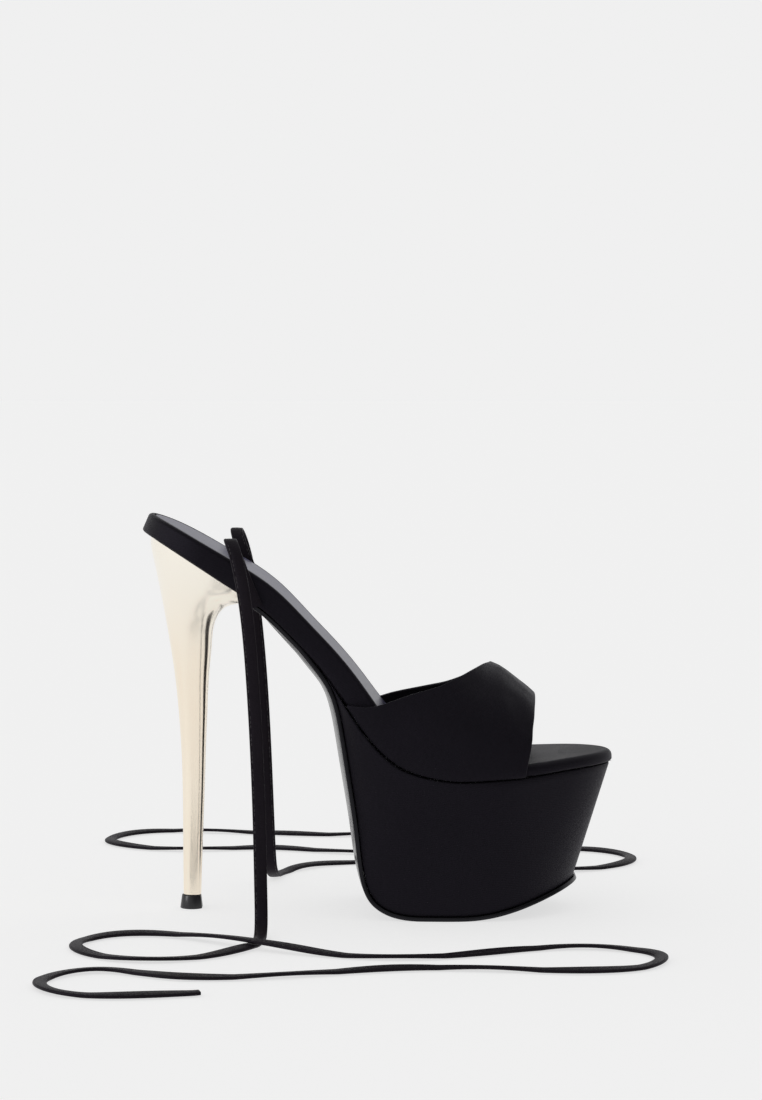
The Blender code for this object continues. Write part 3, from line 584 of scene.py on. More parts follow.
@dataclass
class SoleLine:
    """The outsole's edge line, from the heel's breast down the platform's back and forward to the toe."""

    last: Last
    thickness: float = 0.0019
    toe_radius: float = 0.042
    lip: float = 0.0008
    split_along: float = 0.425
    split_blend: float = 0.090
    split_gap: float = 0.0009
    waist_rows: int = 10
    eased_before: int = 3
    eased_after: int = 4
    easing_passes: int = 3
    slope_step: float = 0.003
    length: float = field(init=False)
    split: float = field(init=False)
    curve: Spline = field(init=False)

    def __post_init__(self) -> None:
        """Draws one curve through the rows, eased where the sheet splits from the footbed."""
        table = np.array(self.rows())
        turn = slice(self.waist_rows - self.eased_before, self.waist_rows + self.eased_after)
        for _ in range(self.easing_passes):
            before, here, after = (table[turn.start + k : turn.stop + k, :2] for k in (-1, 0, 1))
            table[turn, :2] = (before + 2 * here + after) / 4
        shares = running(np.hypot(*np.diff(table[:, :2], axis=0).T))
        self.length = float(shares[-1])
        shares /= self.length
        self.split = float(shares[self.waist_rows - 1])
        self.curve = Spline(shares, table)

    def rows(self) -> list[tuple[float, ...]]:
        """Sections under the waist, and past the split those of the table.

        Returns:
            Rows of (x, z, lateral, medial, crown), from the heel's breast to the toe.
        """
        rows = []
        for along in np.linspace(self.last.breast_along, self.split_along, self.waist_rows):
            leaving = max(1 - (self.split_along - along) / self.split_blend, 0.0)
            depth = CLEARANCE + self.thickness + self.split_gap * leaving**2
            x, _, z = self.last.place(along, 0.0, -self.last.thickness(along) - depth)
            rows.append((x, z, *self.last.half_widths(along, self.lip), self.last.crown(along)))
        half = self.last.ball_width / 2
        split_x, split_z = rows[-1][:2]
        for row in SOLE:
            place = split_x + row.ahead * self.last.length, split_z * row.height
            rows.append((*place, row.lateral * half, row.medial * half, self.last.shank_crown * row.crown))
        return rows

    def point(self, share: float) -> Pair:
        """(x, z) of the edge line."""
        x, z = self.curve(share)[:2]
        return float(x), max(float(z), 0.0)

    def normal(self, share: float) -> Pair:
        """Unit vector (x, z) that points into the shoe."""
        before, after = max(share - self.slope_step, 0.0), min(share + self.slope_step, 1.0)
        return square_to(self.point(before), self.point(after))

    def half_widths(self, share: float, inset: float = 0.0) -> Pair:
        """Half widths of the outsole.

        Args:
            share: place along the edge line.
            inset: how far the outline is moved in.

        Returns:
            (lateral, medial) half widths.
        """
        end = round_end((1 - share) * self.length - inset, self.toe_radius)
        row = self.curve(share)
        return (float(row[2]) - inset) * end, (float(row[3]) - inset) * end

    def crown(self, share: float) -> float:
        """How far the outsole bulges on its middle line."""
        return max(float(self.curve(share)[4]), 0.0)

    def place(self, share: float, y: float, height: float) -> Point:
        """Point over the edge line.

        Args:
            share: place along the edge line.
            y: distance from the middle line.
            height: distance into the shoe, square to the line.

        Returns:
            The point as (x, y, z).
        """
        x, z = self.point(share)
        nx, nz = self.normal(share)
        return x + nx * height, y, z + nz * height


# Shader writing


def opaque(colour: Colour) -> tuple[float, float, float, float]:
    """A colour with full alpha, as a shader's socket takes it."""
    return (*colour, 1.0)


class Signal:
    """A shader socket that takes part in arithmetic."""

    def __init__(self, graph: "Graph", socket: Socket) -> None:
        """Wraps one output socket of a graph."""
        self.graph = graph
        self.socket = socket

    def _math(self, operation: str, first: "Signal | float", second: "Signal | float") -> "Signal":
        """Adds one Math node over two values."""
        return self.graph.signal("ShaderNodeMath", 0, {"operation": operation}, {0: first, 1: second})

    def __add__(self, other: "Signal | float") -> "Signal":
        """Sum."""
        return self._math("ADD", self, other)

    def __radd__(self, other: float) -> "Signal":
        """Sum with a number first."""
        return self._math("ADD", other, self)

    def __sub__(self, other: "Signal | float") -> "Signal":
        """Difference."""
        return self._math("SUBTRACT", self, other)

    def __rsub__(self, other: float) -> "Signal":
        """Difference with a number first."""
        return self._math("SUBTRACT", other, self)

    def __mul__(self, other: "Signal | float") -> "Signal":
        """Product."""
        return self._math("MULTIPLY", self, other)

    def __rmul__(self, other: float) -> "Signal":
        """Product with a number first."""
        return self._math("MULTIPLY", other, self)

    def above(self, limit: float) -> "Signal":
        """1 where the value is over the limit, else 0."""
        return self._math("GREATER_THAN", self, limit)

    def wave(self) -> "Signal":
        """Sine of the value."""
        return self._math("SINE", self, 0.0)

    def size(self) -> "Signal":
        """The value without its sign."""
        return self._math("ABSOLUTE", self, 0.0)


Settings = dict[str, object]
NodeInputs = dict[str | int, object]
Stretch = tuple[float, float, float]
EVEN: Stretch = (1.0, 1.0, 1.0)


class Graph:
    """The nodes of one new material or world."""

    def __init__(self, owner: bpy.types.ID) -> None:
        """Starts with no nodes.

        Args:
            owner: the material or world that the nodes are for.
        """
        owner.use_nodes = True
        self.owner = owner
        self.tree = owner.node_tree
        self.tree.nodes.clear()

    def node(
        self, kind: str, settings: Settings | None = None, inputs: NodeInputs | None = None
    ) -> bpy.types.Node:
        """Adds a node of any type.

        Args:
            kind: the node's type.
            settings: its settings, which are set first.
            inputs: values, signals or sockets for its sockets, by name or number.

        Returns:
            The new node.
        """
        made = self.tree.nodes.new(kind)
        for key, value in (settings or {}).items():
            setattr(made, key, value)
        for key, value in (inputs or {}).items():
            source = value.socket if isinstance(value, Signal) else value
            if isinstance(source, Socket):
                self.tree.links.new(source, made.inputs[key])
            else:
                made.inputs[key].default_value = source
        return made

    def signal(
        self, kind: str, output: str | int, settings: Settings | None = None, inputs: NodeInputs | None = None
    ) -> Signal:
        """Adds a node and wraps one of its outputs.

        Args:
            kind: the node's type.
            output: the output's name or number.
            settings: as for node.
            inputs: as for node.

        Returns:
            The wrapped output.
        """
        return Signal(self, self.node(kind, settings, inputs).outputs[output])

    def split(self, vector: Socket) -> list[Signal]:
        """The three parts of a vector."""
        parts = self.node("ShaderNodeSeparateXYZ", None, {0: vector}).outputs
        return [Signal(self, part) for part in parts]

    def cloth_plane(self) -> list[Signal]:
        """Places across and along the cloth, in metres, from the piece's own UV map."""
        uv = self.node("ShaderNodeUVMap", {"uv_map": "cloth"}).outputs[0]
        return self.split(uv)[:2]

    def object_space(self, stretch: Stretch = EVEN) -> Socket:
        """Object coordinates, with a scale along each axis."""
        space = self.node("ShaderNodeTexCoord").outputs["Object"]
        return self.node("ShaderNodeMapping", None, {"Vector": space, "Scale": stretch}).outputs[0]

    def noise(self, scale: float, detail: float, stretch: Stretch = EVEN) -> Signal:
        """Noise from 0 to 1 in the shoe's own space.

        Args:
            scale: repeats in a metre.
            detail: how many finer layers it has.
            stretch: scale along each axis.

        Returns:
            The noise's value.
        """
        inputs = {"Vector": self.object_space(stretch), "Scale": scale, "Detail": detail}
        return self.signal("ShaderNodeTexNoise", 0, None, inputs)

    def step(self, value: Signal, span: Pair, levels: Pair = (0.0, 1.0)) -> Signal:
        """Smooth step from one level to another.

        Args:
            value: what is read.
            span: the values where the step starts and ends.
            levels: the levels before and after it.

        Returns:
            The level.
        """
        start, end = span
        low, high = levels
        inputs = {"Value": value, "From Min": start, "From Max": end, "To Min": low, "To Max": high}
        return self.signal("ShaderNodeMapRange", 0, {"interpolation_type": "SMOOTHSTEP"}, inputs)

    def mixed(self, share: Signal, low: Colour | Socket, high: Colour) -> Socket:
        """Colour between two.

        Args:
            share: 0 for the low colour, 1 for the high one.
            low: a colour, or the socket of one.
            high: a colour.

        Returns:
            The socket of the mixed colour.
        """
        start = low if isinstance(low, Socket) else opaque(low)
        inputs = {0: share, 6: start, 7: opaque(high)}
        return self.node("ShaderNodeMix", {"data_type": "RGBA"}, inputs).outputs[2]

    def bumped(
        self, height: Signal, distance: float, strength: float = 1.0, under: Socket | None = None
    ) -> Socket:
        """Normal of a surface with a relief.

        Args:
            height: the relief.
            distance: its height in metres.
            strength: how much of it counts.
            under: the normal of a relief that it lies on.

        Returns:
            The socket of the normal.
        """
        inputs: NodeInputs = {"Height": height, "Distance": distance, "Strength": strength}
        if under is not None:
            inputs["Normal"] = under
        return self.node("ShaderNodeBump", None, inputs).outputs[0]

    def finish(self, inputs: NodeInputs) -> Material:
        """Ends a material in a Principled shader.

        Args:
            inputs: values and links of the shader's sockets.

        Returns:
            The finished material.
        """
        shader = self.node("ShaderNodeBsdfPrincipled", None, inputs)
        self.node("ShaderNodeOutputMaterial", None, {"Surface": shader.outputs[0]})
        return self.owner


# Finishes


# A scale is in repeats a metre. What ends in _colour, _roughness or _relief says how much a layer counts.


@dataclass(frozen=True)
class Satin:
    """Satin-faced cloth: long floats, a fine weave and a soft sheen."""

    name: str
    shade: Colour = (0.0042, 0.0037, 0.0048)
    bloom: Colour = (0.0104, 0.0090, 0.0120)
    tint: Colour = (0.74, 0.68, 0.92)
    pitch: float = 0.00052
    weft_rate: float = 0.5
    weft_lean: float = 0.125
    yarn_scale: float = 900.0
    yarn_stretch: Stretch = (1.0, 1.0, 0.35)
    cloud_scale: float = 38.0
    detail: float = 2.0
    yarn_colour: float = 0.55
    weft_colour: float = 0.12
    cloud_colour: float = 0.25
    roughness: float = 0.34
    yarn_roughness: float = 0.16
    cloud_roughness: float = 0.08
    warp_relief: float = 0.7
    weft_relief: float = 0.3
    yarn_relief: float = 0.9
    relief: float = 0.000035
    ripple: float = 0.0009
    ripple_strength: float = 0.35
    specular: float = 0.10
    sheen: float = 0.035
    sheen_roughness: float = 0.45

    def material(self) -> Material:
        """Weaves the cloth over the piece's own UV map.

        Returns:
            The finished material.
        """
        graph = Graph(bpy.data.materials.new(self.name))
        across, along = graph.cloth_plane()
        turn = 2 * math.pi / self.pitch
        warp = (across * turn).wave().size()
        weft = (along * (turn * self.weft_rate) + across * (turn * self.weft_lean)).wave()
        yarn = graph.noise(self.yarn_scale, self.detail, self.yarn_stretch)
        cloud = graph.noise(self.cloud_scale, self.detail)
        colour = yarn * self.yarn_colour + weft * self.weft_colour + cloud * self.cloud_colour
        weave = warp * self.warp_relief + weft * self.weft_relief + yarn * self.yarn_relief
        fine = graph.bumped(weave, self.relief)
        return graph.finish(
            {
                "Base Color": graph.mixed(colour, self.shade, self.bloom),
                "Roughness": yarn * self.yarn_roughness + cloud * self.cloud_roughness + self.roughness,
                "Specular IOR Level": self.specular,
                "Specular Tint": opaque(self.tint),
                "Sheen Weight": self.sheen,
                "Sheen Roughness": self.sheen_roughness,
                "Sheen Tint": opaque(self.tint),
                "Normal": graph.bumped(cloud, self.ripple, self.ripple_strength, fine),
            }
        )


@dataclass(frozen=True)
class CoatedLeather:
    """Smooth coated lining leather with a fine pebble and a gloss that comes up at low angles."""

    name: str
    shade: Colour = (0.010, 0.010, 0.012)
    bloom: Colour = (0.020, 0.019, 0.023)
    pebble_scale: float = 1500.0
    cloud_scale: float = 60.0
    detail: float = 3.0
    cloud_colour: float = 0.7
    pebble_colour: float = 0.3
    roughness: float = 0.27
    cloud_roughness: float = 0.05
    pebble_roughness: float = 0.02
    cloud_relief: float = 2.0
    relief: float = 0.00003
    specular: float = 0.16
    tint: Colour = (0.90, 0.88, 1.0)
    coat: float = 0.03
    coat_roughness: float = 0.18
    sheen: float = 0.16
    sheen_roughness: float = 0.30
    sheen_tint: Colour = (0.50, 0.48, 1.0)

    def material(self) -> Material:
        """Makes the grain from cells and a slow cloud.

        Returns:
            The finished material.
        """
        graph = Graph(bpy.data.materials.new(self.name))
        inputs = {"Vector": graph.object_space(), "Scale": self.pebble_scale}
        pebble = graph.signal("ShaderNodeTexVoronoi", "Distance", None, inputs)
        cloud = graph.noise(self.cloud_scale, self.detail)
        colour = cloud * self.cloud_colour + pebble * self.pebble_colour
        return graph.finish(
            {
                "Base Color": graph.mixed(colour, self.shade, self.bloom),
                "Roughness": cloud * self.cloud_roughness + pebble * self.pebble_roughness + self.roughness,
                "Specular IOR Level": self.specular,
                "Specular Tint": opaque(self.tint),
                "Coat Weight": self.coat,
                "Coat Roughness": self.coat_roughness,
                "Sheen Weight": self.sheen,
                "Sheen Roughness": self.sheen_roughness,
                "Sheen Tint": opaque(self.sheen_tint),
                "Normal": graph.bumped(pebble + cloud * self.cloud_relief, self.relief),
            }
        )


@dataclass(frozen=True)
class GlossRubber:
    """Moulded black rubber, glossy on its sides, with fine diagonal tread underneath."""

    name: str
    shade: Colour = (0.0045, 0.0045, 0.0052)
    bloom: Colour = (0.0090, 0.0088, 0.0100)
    tread_pitch: float = 0.0026
    tread_depth: float = 0.00035
    tread_facing: float = 0.97
    mottle_scale: float = 420.0
    detail: float = 4.0
    roughness: float = 0.17
    mottle_roughness: float = 0.10
    tread_roughness: float = 0.22
    relief: float = 0.00002
    specular: float = 0.22
    tint: Colour = (0.90, 0.88, 1.0)

    def material(self) -> Material:
        """Sets the gloss, a faint mottle and the tread, which only the surfaces that face down have.

        Returns:
            The finished material.
        """
        graph = Graph(bpy.data.materials.new(self.name))
        x, y, _ = graph.split(graph.object_space())
        turn = 2 * math.pi / self.tread_pitch
        ribs = ((x + y) * turn).wave() * ((x - y) * turn).wave()
        _, _, facing = graph.split(graph.node("ShaderNodeNewGeometry").outputs["Normal"])
        under = (facing * -1.0).above(self.tread_facing)
        mottle = graph.noise(self.mottle_scale, self.detail)
        tread = graph.bumped(ribs.above(0.0) * under, self.tread_depth)
        return graph.finish(
            {
                "Base Color": graph.mixed(mottle, self.shade, self.bloom),
                "Roughness": mottle * self.mottle_roughness + under * self.tread_roughness + self.roughness,
                "Specular IOR Level": self.specular,
                "Specular Tint": opaque(self.tint),
                "Normal": graph.bumped(mottle, self.relief, under=tread),
            }
        )


@dataclass(frozen=True)
class PlatedGold:
    """Pale gold plating over a moulded heel, a soft mirror with faint vertical polish lines, which in its colour also
    paint streaks of reflection.
    """

    name: str
    shade: Colour = (0.95, 0.82, 0.66)
    bloom: Colour = (1.00, 0.93, 0.80)
    # Painted highlight: the pale creamy colour that the plating turns to towards the seat, standing in for the
    # brighter reflection of the heel's upper part
    cream: Colour = (1.00, 0.950, 0.850)
    cream_heights: Pair = (0.100, 0.158)
    polish_scale: float = 210.0
    polish_stretch: Stretch = (1.0, 1.0, 0.03)
    polish_detail: float = 3.0
    haze_scale: float = 45.0
    haze_detail: float = 2.0
    haze_colour: float = 0.3
    # Weight of the polish lines in the colour: partly real polish marks, partly painted vertical reflection streaks
    polish_colour: float = 0.7
    roughness: float = 0.18
    polish_roughness: float = 0.04
    haze_roughness: float = 0.03
    relief: float = 0.000008

    def material(self) -> Material:
        """Stretches the polish lines down the heel, which also paint faint reflection streaks into its colour, and
        paints a pale highlight towards the seat.

        Returns:
            The finished material.
        """
        graph = Graph(bpy.data.materials.new(self.name))
        _, _, height = graph.split(graph.object_space())
        polish = graph.noise(self.polish_scale, self.polish_detail, self.polish_stretch)
        haze = graph.noise(self.haze_scale, self.haze_detail)
        # The colour takes the polish lines as real polish marks and as painted vertical reflection streaks
        gold = graph.mixed(haze * self.haze_colour + polish * self.polish_colour, self.shade, self.bloom)
        # Between the two heights the colour turns to the painted highlight, so the upper part of the heel is painted
        # lighter
        return graph.finish(
            {
                "Base Color": graph.mixed(graph.step(height, self.cream_heights), gold, self.cream),
                "Metallic": 1.0,
                "Roughness": polish * self.polish_roughness + haze * self.haze_roughness + self.roughness,
                "Normal": graph.bumped(polish, self.relief),
            }
        )


@dataclass(frozen=True)
class MouldedTip:
    """Hard black plastic of the top piece, satin gloss with moulding marks."""

    name: str
    shade: Colour = (0.006, 0.006, 0.007)
    bloom: Colour = (0.016, 0.015, 0.018)
    flow_scale: float = 700.0
    flow_stretch: Stretch = (1.0, 1.0, 0.2)
    detail: float = 4.0
    roughness: float = 0.22
    flow_roughness: float = 0.2
    relief: float = 0.00003

    def material(self) -> Material:
        """Mixes fine flow lines into the colour and gloss.

        Returns:
            The finished material.
        """
        graph = Graph(bpy.data.materials.new(self.name))
        flow = graph.noise(self.flow_scale, self.detail, self.flow_stretch)
        return graph.finish(
            {
                "Base Color": graph.mixed(flow, self.shade, self.bloom),
                "Roughness": flow * self.flow_roughness + self.roughness,
                "Normal": graph.bumped(flow, self.relief),
            }
        )


@dataclass(frozen=True)
class Thread:
    """Twisted sewing thread."""

    name: str
    shade: Colour = (0.010, 0.008, 0.010)
    bloom: Colour = (0.045, 0.036, 0.044)
    strand_scale: float = 5200.0
    strand_stretch: Stretch = (1.0, 0.4, 1.0)
    detail: float = 1.0
    roughness: float = 0.4
    strand_roughness: float = 0.25
    relief: float = 0.00008

    def material(self) -> Material:
        """Gives each stitch its fine strands.

        Returns:
            The finished material.
        """
        graph = Graph(bpy.data.materials.new(self.name))
        strands = graph.noise(self.strand_scale, self.detail, self.strand_stretch)
        return graph.finish(
            {
                "Base Color": graph.mixed(strands, self.shade, self.bloom),
                "Roughness": strands * self.strand_roughness + self.roughness,
                "Normal": graph.bumped(strands, self.relief),
            }
        )


@dataclass(frozen=True)
class StudioPaper:
    """Pale seamless paper under the shoe, with the glow of a table that is lit from below."""

    name: str
    shade: Colour = (0.425, 0.425, 0.425)
    bloom: Colour = (0.435, 0.435, 0.435)
    tooth_scale: float = 300.0
    detail: float = 2.0
    roughness: float = 0.85
    tooth_roughness: float = 0.1
    white: Colour = (1.0, 1.0, 1.0)
    glow: float = 0.664

    def material(self) -> Material:
        """Gives the paper a very faint tooth, no gloss and its glow.

        Returns:
            The finished material.
        """
        graph = Graph(bpy.data.materials.new(self.name))
        tooth = graph.noise(self.tooth_scale, self.detail)
        return graph.finish(
            {
                "Base Color": graph.mixed(tooth, self.shade, self.bloom),
                "Roughness": tooth * self.tooth_roughness + self.roughness,
                "Specular IOR Level": 0.0,
                "Emission Color": opaque(self.white),
                "Emission Strength": self.glow,
            }
        )


# Mesh making


class Bench:
    """The few hand operations that all pieces share."""

    @staticmethod
    def clear() -> None:
        """Deselects everything."""
        for other in list(bpy.context.selected_objects):
            other.select_set(False)

    @classmethod
    def pick(cls, piece: Piece) -> None:
        """Selects one piece alone and makes it active.

        Args:
            piece: the piece.
        """
        cls.clear()
        piece.select_set(True)
        bpy.context.view_layer.objects.active = piece

    @classmethod
    def lay_grid(cls, name: str, points: np.ndarray, cloth: np.ndarray) -> Piece:
        """Adds a grid primitive and lays its points on a surface.

        Args:
            name: the piece's name.
            points: where each grid point goes, of shape (columns, rows, 3).
            cloth: where each lies on the flat cloth, in metres, of shape (columns, rows, 2).

        Returns:
            The laid piece.
        """
        columns, rows = points.shape[:2]
        cls.clear()
        bpy.ops.mesh.primitive_grid_add(x_subdivisions=columns - 1, y_subdivisions=rows - 1, size=1.0)
        piece = bpy.context.object
        piece.name = piece.data.name = name
        mesh = piece.data
        flat = np.empty(len(mesh.vertices) * 3, np.float32)
        mesh.vertices.foreach_get("co", flat)
        flat = flat.reshape(-1, 3) + 0.5
        i = np.rint(flat[:, 0] * (columns - 1)).astype(int)
        j = np.rint(flat[:, 1] * (rows - 1)).astype(int)
        mesh.vertices.foreach_set("co", points[i, j].astype(np.float32).ravel())
        corners = np.empty(len(mesh.loops), np.int32)
        mesh.loops.foreach_get("vertex_index", corners)
        while mesh.uv_layers:
            mesh.uv_layers.remove(mesh.uv_layers[0])
        layer = mesh.uv_layers.new(name="cloth")
        layer.data.foreach_set("uv", cloth[i[corners], j[corners]].astype(np.float32).ravel())
        mesh.update()
        return piece

    @classmethod
    def close(cls, piece: Piece) -> Piece:
        """Welds the seams of a wrapped grid, fills its open ends and turns its faces outwards.

        Args:
            piece: the laid grid.

        Returns:
            The same piece.
        """
        cls.pick(piece)
        bpy.ops.object.mode_set(mode="EDIT")
        bpy.ops.mesh.select_all(action="SELECT")
        bpy.ops.mesh.remove_doubles(threshold=WELD)
        bpy.ops.mesh.fill_holes(sides=0)
        bpy.ops.mesh.select_all(action="SELECT")
        bpy.ops.mesh.normals_make_consistent(inside=False)
        bpy.ops.object.mode_set(mode="OBJECT")
        cls.face_outwards(piece)
        return piece

    @staticmethod
    def face_outwards(piece: Piece) -> None:
        """Turns a closed mesh round if its faces point inwards.

        Args:
            piece: the piece.
        """
        shell = bmesh.new()
        shell.from_mesh(piece.data)
        if shell.calc_volume(signed=True) < 0:
            bmesh.ops.reverse_faces(shell, faces=shell.faces)
            shell.to_mesh(piece.data)
        shell.free()

    @classmethod
    def smooth(cls, piece: Piece, sharp_over: float) -> Piece:
        """Shades a piece smooth between its sharp edges.

        Args:
            piece: the piece.
            sharp_over: the angle in degrees over which an edge is sharp.

        Returns:
            The same piece.
        """
        cls.pick(piece)
        bpy.ops.object.shade_smooth_by_angle(angle=math.radians(sharp_over))
        return piece

    @classmethod
    def wrap(cls, name: str, points: np.ndarray, cloth: np.ndarray, sharp_over: float) -> Piece:
        """Lays a grid round a form, closes it and shades it smooth.

        Args:
            name: the piece's name.
            points: as for lay_grid.
            cloth: as for lay_grid.
            sharp_over: as for smooth.

        Returns:
            The closed piece.
        """
        return cls.smooth(cls.close(cls.lay_grid(name, points, cloth)), sharp_over)

    @classmethod
    def add_modifier(cls, piece: Piece, kind: str, **settings: object) -> None:
        """Adds a modifier and applies it.

        Args:
            piece: the piece.
            kind: the modifier's type.
            settings: its settings.
        """
        cls.pick(piece)
        made = piece.modifiers.new(kind.lower(), kind)
        for key, value in settings.items():
            setattr(made, key, value)
        bpy.ops.object.modifier_apply(modifier=made.name)

    @classmethod
    def round_edges(cls, piece: Piece, width: float, over: float) -> None:
        """Rounds the edges of a piece.

        Args:
            piece: the piece.
            width: how wide the rounding is.
            over: the angle in degrees over which an edge is rounded.
        """
        limits = {"limit_method": "ANGLE", "angle_limit": math.radians(over)}
        cls.add_modifier(piece, "BEVEL", width=width, segments=EDGE_FACETS, **limits)

    @staticmethod
    def dress(piece: Piece, finishes: Sequence[Material], slot: Slot, *nodes: str) -> Piece:
        """Gives a piece its materials and its place in the frame.

        Args:
            piece: the finished mesh.
            finishes: its materials, in slot order.
            slot: the record's slot that the first one stands for.
            nodes: the CAD nodes that the piece stands for.

        Returns:
            The same piece.
        """
        while len(piece.data.materials) < len(finishes):
            piece.data.materials.append(None)
        for index, finish in enumerate(finishes):
            piece.data.materials[index] = finish
        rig.ride(piece, BODY)
        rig.slot(piece, slot.value)
        if nodes:
            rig.replaces(piece, *nodes)
        return piece


# Ties


class TieFold(NamedTuple):
    """x and z: place of the tie's middle. out: how far out of the footbed's side at the exit.

    face_out and face_up: the way that the flat faces. A fold that lies on the floor gives x and out alone.
    """

    x: float
    out: float
    z: float = 0.0012
    face_out: float = 0.0
    face_up: float = 1.0


TIE_LATERAL = (
    TieFold(-0.0528, 0.0010, 0.1372, -1.0, 0.0),
    TieFold(-0.0552, 0.0011, 0.1430, -1.0, 0.0),
    TieFold(-0.0578, 0.0013, 0.1495, -1.0, 0.0),
    TieFold(-0.0602, 0.0018, 0.1560, -1.0, 0.1),
    TieFold(-0.0622, 0.0037, 0.1616, -0.8, 0.5),
    TieFold(-0.0634, 0.0078, 0.1658, -0.4, 0.9),
    TieFold(-0.0632, 0.0134, 0.1668),
    TieFold(-0.0616, 0.0186, 0.1634, 0.6, 0.8),
    TieFold(-0.0592, 0.0224, 0.1550, 1.0, 0.3),
    TieFold(-0.0564, 0.0252, 0.1400, 1.0, 0.0),
    TieFold(-0.0534, 0.0276, 0.1100, 1.0, 0.0),
    TieFold(-0.0514, 0.0294, 0.0750, 1.0, 0.0),
    TieFold(-0.0502, 0.0310, 0.0400, 1.0, 0.0),
    TieFold(-0.0497, 0.0328, 0.0180, 1.0, 0.2),
    TieFold(-0.0494, 0.0370, 0.0058, 0.7, 0.7),
    TieFold(-0.0494, 0.0454),
    TieFold(-0.0524, 0.0654),
    TieFold(-0.0680, 0.0844),
    TieFold(-0.0940, 0.0924),
    TieFold(-0.1180, 0.0804),
    TieFold(-0.1250, 0.0584),
    TieFold(-0.1120, 0.0414),
    TieFold(-0.0890, 0.0404, 0.0014),
    TieFold(-0.0680, 0.0524, 0.0026),
    TieFold(-0.0480, 0.0674, 0.0034),
    TieFold(-0.0220, 0.0804, 0.0014),
    TieFold(0.0120, 0.0874),
    TieFold(0.0440, 0.0794),
    TieFold(0.0720, 0.0674),
    TieFold(0.0980, 0.0684),
    TieFold(0.1150, 0.0844),
    TieFold(0.1090, 0.1044),
    TieFold(0.0840, 0.1144),
    TieFold(0.0520, 0.1104),
    TieFold(0.0200, 0.1084),
    TieFold(-0.0140, 0.1154),
    TieFold(-0.0480, 0.1244),
    TieFold(-0.0820, 0.1244),
    TieFold(-0.1120, 0.1124),
    TieFold(-0.1310, 0.1310),
    TieFold(-0.1240, 0.1520),
    TieFold(-0.0980, 0.1600),
    TieFold(-0.0680, 0.1540),
)
TIE_MEDIAL = (
    TieFold(-0.0528, 0.0010, 0.1372, -1.0, 0.0),
    TieFold(-0.0552, 0.0012, 0.1430, -1.0, 0.0),
    TieFold(-0.0578, 0.0014, 0.1495, -1.0, 0.0),
    TieFold(-0.0604, 0.0020, 0.1560, -1.0, 0.1),
    TieFold(-0.0628, 0.0040, 0.1618, -0.8, 0.5),
    TieFold(-0.0644, 0.0082, 0.1664, -0.4, 0.9),
    TieFold(-0.0646, 0.0140, 0.1676),
    TieFold(-0.0634, 0.0192, 0.1642, 0.6, 0.8),
    TieFold(-0.0612, 0.0230, 0.1560, 1.0, 0.3),
    TieFold(-0.0584, 0.0258, 0.1400, 1.0, 0.0),
    TieFold(-0.0552, 0.0284, 0.1100, 1.0, 0.0),
    TieFold(-0.0530, 0.0304, 0.0750, 1.0, 0.0),
    TieFold(-0.0516, 0.0322, 0.0400, 1.0, 0.0),
    TieFold(-0.0508, 0.0342, 0.0180, 1.0, 0.2),
    TieFold(-0.0500, 0.0384, 0.0058, 0.7, 0.7),
    TieFold(-0.0486, 0.0466),
    TieFold(-0.0420, 0.0646),
    TieFold(-0.0230, 0.0816),
    TieFold(0.0060, 0.0876),
    TieFold(0.0360, 0.0816),
    TieFold(0.0640, 0.0686),
    TieFold(0.0940, 0.0656),
    TieFold(0.1180, 0.0796),
    TieFold(0.1240, 0.1026),
    TieFold(0.1080, 0.1206),
    TieFold(0.0780, 0.1246),
    TieFold(0.0440, 0.1166),
    TieFold(0.0100, 0.1126),
    TieFold(-0.0240, 0.1186),
    TieFold(-0.0580, 0.1276),
    TieFold(-0.0920, 0.1246),
    TieFold(-0.1200, 0.1300),
    TieFold(-0.1370, 0.1500),
    TieFold(-0.1270, 0.1740),
    TieFold(-0.0970, 0.1830),
    TieFold(-0.0620, 0.1760),
    TieFold(-0.0270, 0.1700),
    TieFold(0.0080, 0.1750),
    TieFold(0.0440, 0.1810),
    TieFold(0.0790, 0.1770),
)


class StrapPoint(NamedTuple):
    """Point of the tie's section, as shares of half its width and half its thickness."""

    across: float
    rise: float


STRAP_FACE = (
    StrapPoint(-1.00, 0.00),
    StrapPoint(-0.98, 0.48),
    StrapPoint(-0.90, 0.86),
    StrapPoint(-0.79, 1.00),
    StrapPoint(-0.68, 0.78),
    StrapPoint(-0.57, 0.99),
    StrapPoint(-0.20, 1.08),
    StrapPoint(0.25, 1.08),
    StrapPoint(0.66, 1.02),
    StrapPoint(0.88, 0.84),
    StrapPoint(0.98, 0.46),
)


